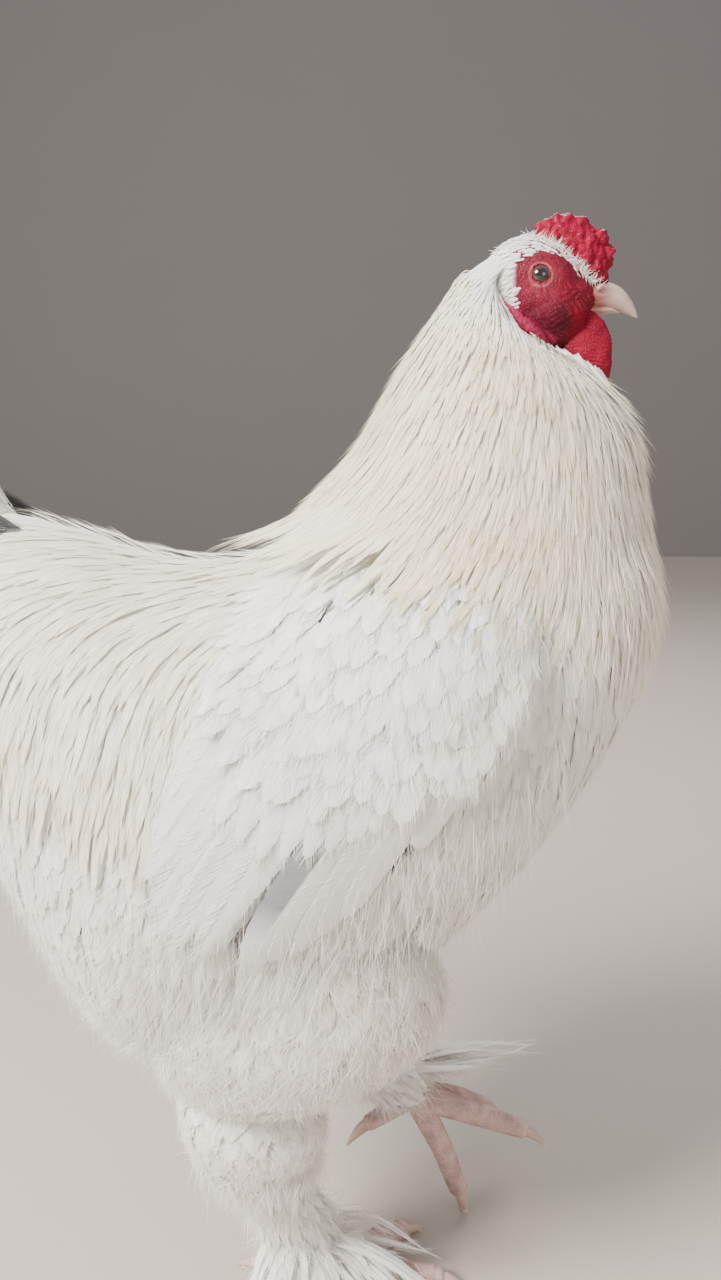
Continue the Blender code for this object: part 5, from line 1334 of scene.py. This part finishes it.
def body_coat():
    """Breast, sides and back: a bed of broad feathers under softer ones with loose edges."""
    coat = Coat("body_coat")

    def keep(place, angle, points):
        x, y, z = points.T
        winged = (OUTLINE.share(x, z) < 0.86) & (np.abs(y) > 0.05)
        return (np.abs(angle) > np.interp(place, (4.8, 5.6), (30, 52))) & ((place < 3.4) | (np.abs(angle) < 120)) & ~winged

    plume(coat, Form(TORSO), (0.35, 9.2), (0.0200, 0.0150), (0.0120, 0.0120), (0.040, 0.040), keep, body_flow, "soft",
          (-0.0040, -0.0012), 5, 0.05, None, 0.0003, under=NECK_TREE, camber=0.02)
    plume(coat, Form(TORSO), (0.35, 9.2), (0.0117, 0.0081), (0.0055, 0.0055), (0.030, 0.034), keep, body_flow, "soft",
          (-0.0012, 0.0005), 6, 0.12, (0.0050, 0.0085), 0.0003, under=NECK_TREE, camber=0.02, thick=0.0003, teeth=0.10, fringe=13,
          fringe_long=2.6, splay=0.32)
    return coat.finish(WHITE, "white_feather")


def saddle(side):
    coat = Coat("saddle_left" if side > 0 else "saddle_right")
    form = Form(TORSO)

    def keep(place, angle, points):
        own = (angle > 0) if side > 0 else (angle <= 0)
        return own & (np.abs(angle) < 72 - 4 * (place - 4.4)) & ((place > 5.2) | (np.abs(angle) < 40))

    plume(coat, form, (4.4, 8.9), (0.0180, 0.0150), (0.0100, 0.0100), (0.046, 0.050), keep, body_flow, "soft",
          (-0.0040, 0.0004), 6, 0.10, None, 0.0004, camber=0.03)
    plume(coat, form, (4.2, 8.7), (0.0096, 0.0037), (0.0042, 0.0048), (0.060, 0.086), keep, body_flow, "pointed",
          (-0.0012, 0.0032), 9, 0.12, None, 0.0010, camber=0.02, thick=0.0003, teeth=0.12, fringe=10, fringe_long=5.2,
          splay=0.18)
    return coat.finish(PALE, "cream_feather")


def rear_fluff(side):
    coat = Coat("fluff_left" if side > 0 else "fluff_right")
    form = Form(TORSO)

    def keep(place, angle, points):
        own = (angle > 0) if side > 0 else (angle <= 0)
        return own & (np.abs(angle) > np.interp(place, (3.0, 4.5, 7.0, 9.0), (118, 104, 84, 76)))

    plume(coat, form, (3.0, 9.3), (0.0160, 0.0140), (0.0095, 0.0095), (0.034, 0.034), keep, fluff_flow, "soft",
          (-0.0092, -0.0052), 6, 0.25, None, 0.0004, camber=0.05)
    def flank(place, angle, points):
        own = (angle > 0) if side > 0 else (angle <= 0)
        return own & (np.abs(angle) > 90) & (np.abs(angle) < 128)

    down(coat, form, (3.0, 9.5), (0.0087, 0.0087), 0.025, keep, fluff_flow, 4, 0.36, 0.60, 0.25, 0.00019, 0.004)
    down(coat, form, (3.0, 9.5), (0.0064, 0.0064), 0.015, keep, fluff_flow, 7, 0.50, 0.95, 0.10, 0.00016, 0.003, 1)
    down(coat, form, (2.3, 6.4), (0.0085, 0.0085), 0.034, flank, fluff_flow, 6, 0.45, 0.45, 0.40, 0.00019, 0.004)
    return coat.finish(DOWN, "white_feather")


def thigh(side):
    name = "left" if side > 0 else "right"
    coat = Coat(f"thigh_{name}_coat")
    form = Form(LEFT_THIGH if side > 0 else RIGHT_THIGH)
    plume(coat, form, (0.6, 4.1), (0.0150, 0.0130), (0.0090, 0.0080), (0.030, 0.020), None, None, "soft",
          (-0.0082, -0.0044), 6, 0.25, None, 0.0004, camber=0.05)

    def outside(place, angle, points):
        return depth_in(BODY_ONLY, points) < 0.003

    def size(points):
        """Shorter towards the lower front, where the outline draws in to the hock."""
        x, y, z = points.T
        return (1 - 0.60 * smooth(0.26, 0.20, z) * smooth(-0.02, 0.05, x)) * (1 - 0.35 * smooth(0.215, 0.19, z))

    for rows, spacing in (((0.8, 2.5), 0.0072), ((2.5, 2.95), 0.0062)):
        down(coat, form, rows, (spacing, spacing), 0.022, outside, None, 4, 0.30, 0.65, 0.22, 0.00019, 0.004, size=size)
        down(coat, form, rows, (0.8 * spacing,) * 2, 0.013, outside, None, 7, 0.50, 0.95, 0.10, 0.00016, 0.003, 1,
             size=size)
    return coat.finish(DOWN, "white_feather")


def shank(side):
    """The round puff at the hock, and looser locks below it."""
    name = "left" if side > 0 else "right"
    coat = Coat(f"shank_{name}_coat")
    form = Form(LEFT_SHANK if side > 0 else RIGHT_SHANK)
    plume(coat, form, (0.4, 3.6), (0.0120, 0.0100), (0.0075, 0.0070), (0.024, 0.024), None, None, "soft",
          (-0.0060, -0.0028), 6, 0.10, None, 0.0003, camber=0.05)
    plume(coat, form, (3.0, 6.2), (0.0085, 0.0075), (0.0032, 0.0032), (0.024, 0.032), None, None, "soft",
          (-0.0035, 0.0010), 7, 0.35, None, 0.0020, camber=0.08, thick=0.0004, teeth=0.2, fringe=10, fringe_long=3.2,
          splay=0.6)
    down(coat, form, (0.9, 3.5), (0.0076, 0.0076), 0.013, None, None, 4, 0.30, 0.45, 0.10, 0.00018, 0.003)
    down(coat, form, (0.9, 3.6), (0.0056, 0.0056), 0.009, None, None, 5, 0.40, 0.80, 0.05, 0.00016, 0.002, 1)
    # The puff's top lies on the end of the thigh.
    above = Form(LEFT_THIGH if side > 0 else RIGHT_THIGH)
    down(coat, above, (2.90, 4.8), (0.0072, 0.0072), 0.011, None, None, 4, 0.25, 0.45, 0.10, 0.00018, 0.004)
    down(coat, above, (2.95, 4.8), (0.0055, 0.0055), 0.008, None, None, 5, 0.40, 0.80, 0.05, 0.00016, 0.002, 1)
    down(coat, form, (2.9, 6.4), (0.0072, 0.0072), 0.024, None, None, 4, 0.65, 0.6, 0.25, 0.00020, 0.002)
    down(coat, form, (2.9, 6.4), (0.0056, 0.0056), 0.015, None, None, 5, 0.65, 0.8, 0.10, 0.00017, 0.001, 1)
    return coat.finish(DOWN, "white_feather")


def arcs(root, tip, rise, stations):
    """Lines from roots to tips that rise between them by the given amount, with surface directions."""
    s = np.linspace(0, 1, stations)[None, :, None]
    centres = root[:, None] + (tip - root)[:, None] * s
    centres[..., 2] += (rise[:, None] * (4 * s[..., 0] * (1 - s[..., 0]) ** 1.3))
    flat = unit((tip - root) * (1, 1, 0))
    side = np.cross(flat, (0, 0, 1))
    heading = unit(np.gradient(centres, axis=1))
    return centres, unit(np.cross(side[:, None], heading))


def foot_feathers(side):
    """The foot's fan of long soft feathers, down over the toes and out to the side."""
    name = "left" if side > 0 else "right"
    coat = Coat(f"foot_{name}_coat")
    chance = coat.chance
    table = np.array(LEFT_FOOT_FEATHERS if side > 0 else RIGHT_FOOT_FEATHERS)
    order = table[:7]
    count = 120
    lines = resampled(order, count)
    if side < 0:
        # The last of the standing foot's feathers lies on its inner side.
        inner = np.repeat(table[-1:], 12, 0) + chance.normal(0, 0.006, (12, 6))
        lines = np.vstack([lines, inner])
    count = len(lines)
    root = lines[:, :3] + chance.normal(0, 0.0045, (count, 3))
    tip = lines[:, 3:] + chance.normal(0, 0.006, (count, 3)) * (1, 1, 0.6)
    share = chance.uniform(0.35, 1.0, count)
    tip = root + (tip - root) * share[:, None]
    tip[:, 1] = np.minimum(tip[:, 1], 0.150)
    floor = 0.0025 if side < 0 else -1
    tip[:, 2] = np.maximum(tip[:, 2], floor)
    centres, ups = arcs(root, tip, chance.uniform(0.003, 0.014, count), 12)
    sway = chance.normal(0, 0.007, (count, 1)) * np.sin(np.linspace(0, math.pi, 12))[None, :]
    centres += sway[..., None] * np.cross(unit(tip - root), (0, 0, 1))[:, None]
    centres[..., 2] = np.maximum(centres[..., 2], floor)
    ups = unit(ups + chance.normal(0, 0.25, (count, 1, 3)))
    roots = root[:, :2] * 3 + 0.5
    coat.vanes(centres, ups, chance.uniform(0.0014, 0.0030, count), "soft", roots, 0.10, 0.0004, 0.40, 0.8, fringe=30,
               fringe_long=5.5, splay=0.75)
    # Down about the feathers' roots.
    many = np.repeat(np.arange(count), 30)
    heading = unit(tip - root)[many] + chance.normal(0, 0.50, (len(many), 3))
    heading[:, 2] -= 0.10
    along = chance.uniform(0, 0.70, (len(many), 1)) ** 1.5
    base = root[many] + (tip - root)[many] * along + chance.normal(0, 0.005, (len(many), 3))
    base[:, 2] = np.maximum(base[:, 2], 0.0035)
    length = chance.uniform(0.010, 0.028, len(many)) * (1 - 0.5 * along[:, 0])
    if side < 0:
        length = np.minimum(length, (base[:, 2] - 0.001) / np.maximum(-unit(heading)[:, 2] + 0.25, 0.05))
    coat.barbs(base, heading, np.array([0, 0, -0.22]) + 0 * base, length, np.full(len(many), 0.00017), roots[many],
               chance.uniform(-1, 1, len(many)))
    return coat.finish(DOWN, "white_feather")


# The wing: heights over the body by place seen from the side.

def closed_curve(corners, steps=8):
    """A smooth closed curve through corners."""
    p = np.array(corners)
    t = np.arange(steps)[:, None] / steps
    parts = []
    for i in range(len(p)):
        a, b, c, d = (p[(i + k) % len(p)] for k in (-1, 0, 1, 2))
        parts.append(0.5 * (2 * b + (c - a) * t + (2 * a - 5 * b + 4 * c - d) * t**2 + (3 * b - a - 3 * c + d) * t**3))
    return np.vstack(parts)


class Region:
    """A closed outline seen from the side, with how far out a place lies in it: 0 in the middle, 1 at the edge."""

    def __init__(self, corners):
        self.middle = np.mean(corners, 0)
        edge = closed_curve(corners) - self.middle
        turn = np.arctan2(edge[:, 1], edge[:, 0])
        order = np.argsort(turn)
        self.turn, self.reach = turn[order], np.linalg.norm(edge, axis=1)[order]

    def share(self, x, z):
        dx, dz = x - self.middle[0], z - self.middle[1]
        return np.hypot(dx, dz) / np.interp(np.arctan2(dz, dx), self.turn, self.reach, period=2 * np.pi)


PAD, OUTLINE = Region(WING_PAD), Region(WING_BLOCK)
BODY = Form(TORSO).mesh(8, 96)
BODY_ONLY = BVHTree.FromPolygons(BODY[0].tolist(), BODY[1].tolist())


def wing_height(x, z):
    dome = WING_PAD_HEIGHT * np.interp(PAD.share(x, z), (0, 0.36, 0.66, 0.86, 0.97, 1.06), (1, 0.95, 0.78, 0.50, 0.20, 0))
    bed = 0.0115 * smooth(1.03, 0.84, OUTLINE.share(x, z)) * smooth(0.50, 0.45, z)
    return np.maximum(dome, bed)


def on_body(x, z, height, side):
    """Points a height above the body, straight in from the side at x and z."""
    points = np.empty((*np.shape(x), 3))
    for index in np.ndindex(np.shape(x)):
        hit, normal, _, _ = BODY_ONLY.ray_cast(Vector((x[index], 0.4 * side, z[index])), Vector((0, -side, 0)))
        if hit is None:
            hit, normal = Vector((x[index], 0.02 * side, z[index])), Vector((0, side, 0))
        points[index] = hit + normal * height[index]
    return points


def wing_lines(x, z, height, side, rise=0.0):
    """Centre lines over the wing and the directions away from it."""
    centres = on_body(x, z, height, side)
    step = 0.004
    base = wing_height(x, z) * rise
    right = on_body(x + step, z, wing_height(x + step, z) * rise, side)
    upper = on_body(x, z + step, wing_height(x, z + step) * rise, side)
    here = on_body(x, z, base, side)
    ups = unit(np.cross(right - here, upper - here))
    ups *= np.sign(ups[..., 1:2]) * side
    return eased(centres), ups


def resampled(table, count):
    """Rows between a table's rows, evenly."""
    table = np.array(table)
    at = np.linspace(0, len(table) - 1, count)
    return np.stack([np.interp(at, range(len(table)), column) for column in table.T], 1)


def row_of_feathers(coat, rows, side, kind, stations, roll, bow, teeth, camber=0.08, narrow=1.0, **edge):
    """Large wing feathers from rows of root x, z, tip x, z, half width, and heights of root and tip."""
    s = np.linspace(0, 1, stations)[None, :]
    x0, z0, x1, z1, half, low, high = (rows[:, k, None] for k in range(7))
    run = np.hypot(x1 - x0, z1 - z0)
    # The bow lies to the lower side of the line, most at its middle.
    off = bow * run * 4 * s * (1 - s)
    x = x0 + (x1 - x0) * s - off * (z1 - z0) / run * -1
    z = z0 + (z1 - z0) * s + off * (x1 - x0) / run * -1 * -1
    height = low + (high - low) * s
    centres, ups = wing_lines(x, z, height, side)
    heading = unit(np.gradient(centres, axis=1))
    lean = np.cross(heading, ups) * side
    ups = unit(ups + roll * lean)
    roots = np.stack([0.5 + rows[:, 0], rows[:, 1]], -1)
    coat.vanes(centres, ups, rows[:, 4] * narrow, kind, roots, camber, 0.0008, teeth, 0.6, flip=-side, **edge)


def covert_direction(x, z):
    """The way the small wing feathers lie, in degrees below straight back."""
    front = np.clip((x + 0.03) / 0.13, 0, 1)
    return 34 + 48 * front + 26 * np.clip((0.48 - z) / 0.07, 0, 1) * (1 - front)


def small_coverts(coat, side):
    chance = coat.chance
    step_x, step_z = 0.0098, 0.0092
    xs, zs = np.arange(-0.045, 0.126, step_x), np.arange(0.400, 0.526, step_z)
    x, z = np.meshgrid(xs, zs)
    x = x + 0.5 * step_x * (np.arange(len(zs)) % 2)[:, None]
    x, z = x.ravel() + chance.uniform(-0.003, 0.003, x.size), z.ravel() + chance.uniform(-0.003, 0.003, x.size)
    share = PAD.share(x, z)
    good = (share < 1.0) & (z > 0.418 + 0.10 * np.clip(-0.01 - x, 0, 1))
    x, z = x[good], z[good]
    # Larger towards the lower rear, away from the wing's front and top.
    size = np.clip(0.30 + (0.50 - z) * 6 + (0.10 - x) * 2.5, 0.35, 1.0)
    half = (0.0052 + 0.0044 * size) * chance.uniform(0.85, 1.15, len(x))
    length = (0.020 + 0.016 * size) * chance.uniform(0.85, 1.15, len(x))
    turn = np.radians(covert_direction(x, z) + chance.normal(0, 5, len(x)))
    s = np.linspace(0, 1, 13)[None, :]
    px = x[:, None] - (length * np.cos(turn))[:, None] * s
    pz = z[:, None] - (length * np.sin(turn))[:, None] * s
    lift = -0.0012 + (0.0017 + chance.uniform(-0.0003, 0.0003, len(x)))[:, None] * smooth(0, 0.8, s)
    centres, ups = wing_lines(px, pz, wing_height(px, pz) + lift, side, 1.0)
    coat.vanes(centres, ups, half, "soft", np.stack([0.5 + x, z], -1), 0.04, 0.0003, 0.10, 0.6, fringe=58,
               fringe_long=1.3, splay=0.45)


def wing(side):
    """Primaries over the secondaries, then the rows of coverts."""
    coat, web = (Coat(f"wing_{'left' if side > 0 else 'right'}{part}") for part in ("", "_primaries"))
    flights, coverts = np.array(FLIGHT_FEATHERS), np.array(COVERTS)
    row_of_feathers(coat, resampled(flights[3:9], 9), side, "round", 24, 0.20, 0.05, 0.05, fringe=60)
    frayed = resampled(flights[3:6], 5)
    frayed[:, 6] += 0.0012
    row_of_feathers(coat, frayed, side, "soft", 20, 0.10, 0.05, 0.3, narrow=0.75, fringe=150, fringe_long=1.2)
    lifted = resampled(flights[:3], 5)
    lifted[:, 5:] += np.linspace(0.0030, 0.0010, 5)[:, None]
    row_of_feathers(coat, lifted[:-1], side, "round", 26, 0.22, 0.07, 0.03, narrow=0.8, fringe=30, fringe_long=0.3)
    row_of_feathers(web, lifted[-1:], side, "round", 26, 0.16, 0.07, 0.03, narrow=1.15)
    row_of_feathers(coat, flights[9:], side, "round", 20, 0.10, 0.03, 0.05, fringe=40, fringe_long=0.4)
    coverts[:, 5:] -= np.where(np.arange(9) < 5, 0.0008, 0.0022)[:, None]
    row_of_feathers(coat, resampled(coverts[:5], 9), side, "soft", 18, 0.09, 0.03, 0.10, 0.04, fringe=110,
                    fringe_long=0.9, splay=0.6)
    row_of_feathers(coat, resampled(coverts[5:], 8), side, "soft", 18, 0.09, 0.03, 0.10, 0.04, fringe=110,
                    fringe_long=0.9, splay=0.6)
    row_of_feathers(coat, resampled(SCAPULARS, 6), side, "soft", 16, 0.06, 0.05, 0.10, fringe=90, fringe_long=1.4,
                    splay=0.5)
    small_coverts(coat, side)
    return coat.finish(WHITE, "white_feather"), web.finish(WEB, "white_feather")


def tail():
    """Dark main feathers under white coverts, in a tent."""
    dark, pale = Coat("tail_feathers"), Coat("tail_coverts")
    for side in (-1, 1):
        out = np.array([0.0, side, TAIL_SLANT])
        for coat, table, count, kind, half, teeth in (
                (dark, MAIN_TAIL, 9, "round", 0.0165, 0.06), (pale, TAIL_COVERTS, 17, "pointed", 0.0100, 0.25),
                (dark, SIDE_TAIL, 7, "soft", 0.0070, 0.25)):
            rows = resampled(table, count)
            s = np.linspace(0, 1, 18)[None, :, None]
            ahead, apart = (0.034, 0.030) if table is SIDE_TAIL else (0, 0.010)
            root = np.stack([TAIL_ROOT[0] + ahead + 0 * rows[:, 0], side * apart + 0 * rows[:, 0],
                             TAIL_ROOT[1] + rows[:, 0] * 0.6], -1)[:, None]
            tip = np.stack([rows[:, 1], side * rows[:, 2], rows[:, 3]], -1)[:, None]
            if table is not MAIN_TAIL:
                tip = root + (tip - root) * coat.chance.uniform(0.55, 1.0, (count, 1, 1))
            bow = rows[:, 4, None, None]
            centres = root + (tip - root) * s + out * (bow + (0.003 if coat is pale else 0)) * 4 * s * (1 - s)
            ups = np.broadcast_to(unit(out), centres.shape)
            coat.vanes(centres, ups, np.full(count, half), kind, np.stack([rows[:, 1] + 0.6, rows[:, 3]], -1), 0.06,
                       0.0008, teeth, 0.8, fringe=0 if table is MAIN_TAIL else 60, fringe_long=0.9)
    # Fine saddle feathers that cover the foot of the tail.
    plume(pale, Form(TAIL_CORE), (0.9, 3.4), (0.0095, 0.0050), (0.0045, 0.0045), (0.055, 0.060), None, None, "pointed",
          (-0.003, 0.0045), 10, 0.12, None, 0.0015, camber=0.12, teeth=0.15)
    return dark.finish(DARK, "dark_feather"), pale.finish(WHITE, "white_feather")


# Eyes, beak and claws.

def eyeball(side):
    """An eyeball with a slightly domed cornea."""
    bm = bmesh.new()
    bmesh.ops.create_uvsphere(bm, u_segments=48, v_segments=32, radius=EYE_RADIUS)
    bmesh.ops.rotate(bm, matrix=Matrix.Rotation(math.radians(90), 3, "X"), verts=bm.verts)
    for vert in bm.verts:
        off = math.hypot(vert.co.x, vert.co.z)
        if vert.co.y * side > 0:
            vert.co.y += side * 0.0006 * max(0.0, 1 - (off / 0.0046) ** 2)
    bmesh.ops.translate(bm, vec=(EYE_CENTRE[0], side * EYE_CENTRE[1], EYE_CENTRE[2]), verts=bm.verts)
    mesh = bpy.data.meshes.new("eyeball")
    bm.to_mesh(mesh)
    bm.free()
    mesh.shade_smooth()
    mesh.materials.append(EYE)
    obj = bpy.data.objects.new("eyeball_left" if side > 0 else "eyeball_right", mesh)
    bpy.context.scene.collection.objects.link(obj)
    return obj


def beak_arrays(table, upper):
    def relief(points, normals, p, a):
        flat = points.reshape(-1, 3)
        out = 0.00012 * noise_at(flat, 300, 3)
        if upper:
            for y in (-0.0072, 0.0072):
                away = np.linalg.norm((flat - (0.1625, y, 0.6565)) * (0.55, 1, 1), axis=1)
                out -= 0.0016 * np.exp(-(away / 0.0011) ** 2)
                out += 0.0004 * np.exp(-((away - 0.0026) / 0.0012) ** 2)
        return out.reshape(p.shape)

    return Form(table).mesh(22, 64, relief)


def claw_arrays(line):
    """A curved claw from inside a toe's end."""
    tip, before = np.array(line[-1][:3]), np.array(line[-2][:3])
    heading = unit(tip - before)
    start = tip + heading * line[-1][3] * 0.35
    knots = []
    for t, size in ((0, 1.0), (0.25, 0.95), (0.5, 0.76), (0.75, 0.50), (0.92, 0.26), (1.0, 0.12)):
        x, y, z = start + heading * (CLAW_LENGTH + 0.002) * t - np.array((0, 0, CLAW_DROOP * t**2))
        knots.append((x, y, max(z, 0.0004 + CLAW_RADIUS * size), CLAW_RADIUS * size))
    return tube_arrays(knots, 20, 5)


def joined(name, parts, material):
    """One object of several closed meshes."""
    points, tris, count = [], [], 0
    for p, t in parts:
        points.append(p)
        tris.append(t + count)
        count += len(p)
    obj = solid(name, (np.vstack(points), np.vstack(tris)))
    obj.data.shade_smooth()
    obj.data.materials.append(material)
    return obj


# Build.

SKIN = skin_material()
WHITE = feather_material("white_feather", (0.84, 0.81, 0.75), (0.90, 0.89, 0.86), (0.92, 0.90, 0.85), streak=0.12)
CREAM = feather_material("cream_feather", (0.90, 0.865, 0.74), (0.87, 0.72, 0.40), (0.95, 0.89, 0.71), tip_from=0.2,
                         barb_angle=9, streak=0.24, roughness=0.60)
PALE = feather_material("pale_feather", (0.88, 0.85, 0.77), (0.89, 0.80, 0.60), (0.94, 0.91, 0.81), tip_from=0.3,
                        barb_angle=12, streak=0.18, roughness=0.62)
# The web's grey patch on the last primary: the inner web's own grey, deepened by painted shade under the next feather's
# edge.
WEB = feather_material("web_feather", (0.80, 0.79, 0.77), (0.86, 0.85, 0.83), (0.90, 0.89, 0.86), streak=0.10,
                       patch=((0.30, 0.30, 0.31), 0.40, 0.74, 1.0))
DARK = feather_material("dark_feather", (0.05, 0.05, 0.055), (0.09, 0.09, 0.095), (0.12, 0.11, 0.10), streak=0.3,
                        roughness=0.5)
DOWN = down_material("down", (0.86, 0.82, 0.75), (0.91, 0.89, 0.85), (0.86, 0.76, 0.60))
HORN = horn_material()
EYE = eye_material()

BODY_TREE, FACE_TREE, skin = build_skin(SKIN)
NECK_TREE = BVHTree.FromPolygons(*(values.tolist() for values in Form(NECK).mesh(8, 72)))
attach(skin, "root")
print("skin", len(skin.data.polygons))

pieces = {
    "head_coat": head_plumage(), "bristles": crown_bristles(),
    "hackles": [hackle(-1), hackle(1)], "body": body_coat(), "saddles": [saddle(-1), saddle(1)],
    "fluffs": [rear_fluff(-1), rear_fluff(1)], "thighs": [thigh(-1), thigh(1)], "shanks": [shank(-1), shank(1)],
    "feet": [foot_feathers(-1), foot_feathers(1)], "wings": [wing(-1)[0], wing(1)[0]], "tail": tail(),
}
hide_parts("head", "comb", "wattle_left", "wattle_right", "ear_lobe_left", "ear_lobe_right")
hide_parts("neck")
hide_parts("torso")
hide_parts("tail")
for k, name in enumerate(("right", "left")):
    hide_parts(f"thigh_{name}")
    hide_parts(f"shank_{name}")
    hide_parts(f"foot_{name}")
    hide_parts(f"wing_{name}")
    side = (-1, 1)[k]
    eye = eyeball(side)
    claws = joined(f"claws_{name}", [claw_arrays(line) for line in (RIGHT_TOES, LEFT_TOES)[k].values()], HORN)
    for piece, slot in ((eye, "eye"), (claws, "horn")):
        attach(piece, "root")
    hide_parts(f"eye_{name}")
for name, table in (("beak_upper", UPPER_BEAK), ("beak_lower", LOWER_BEAK)):
    piece = joined(f"{name}_horn", [beak_arrays(table, table is UPPER_BEAK)], HORN)
    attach(piece, "root")
    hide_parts(name)

# Stage, light and camera.

floor = new_object("floor", np.array([(-6, -6, 0), (6, -6, 0), (6, 6, 0), (-6, 6, 0)], float),
                   np.array([(0, 1, 2), (0, 2, 3)]), stage_material("floor", (0.46, 0.40, 0.34)))
wall = new_object("backdrop", np.array([(-8, 4, -0.1), (8, 4, -0.1), (8, 4, 7), (-8, 4, 7)], float),
                  np.array([(0, 1, 2), (0, 2, 3)]), stage_material("backdrop", (0.20, 0.18, 0.17)))

world = bpy.data.worlds.new("world")
bpy.context.scene.world = world
world.use_nodes = True
world.node_tree.nodes["Background"].inputs[0].default_value = (0.86, 0.90, 1.0, 1.0)
world.node_tree.nodes["Background"].inputs[1].default_value = 0.72


def area_light(name, place, target, size, power, colour):
    light = bpy.data.lights.new(name, "AREA")
    light.shape, light.size, light.energy, light.color = "DISK", size, power, colour
    lamp = bpy.data.objects.new(name, light)
    lamp.location = place
    lamp.rotation_euler = (Vector(target) - Vector(place)).to_track_quat("-Z", "Y").to_euler()
    bpy.context.scene.collection.objects.link(lamp)


area_light("key", (-1.6, -1.2, 1.9), (0, 0, 0.35), 1.0, 205, (1.0, 0.985, 0.95))
area_light("fill", (1.6, -1.8, 0.9), (0, 0, 0.35), 1.6, 18, (1.0, 0.84, 0.66))
area_light("rim", (0.3, 1.8, 1.9), (0, 0, 0.4), 1.2, 40, (0.94, 0.97, 1.0))

camera = bpy.data.cameras.new("camera")
camera.sensor_width, camera.lens = 36.0, 1100 / 1280 * 36
camera_object = bpy.data.objects.new("camera", camera)
camera_object.location = (0.025, -0.66, 0.5866)
camera_object.rotation_euler = (math.radians(90 - 11.5), 0, 0)
bpy.context.scene.collection.objects.link(camera_object)
bpy.context.scene.camera = camera_object
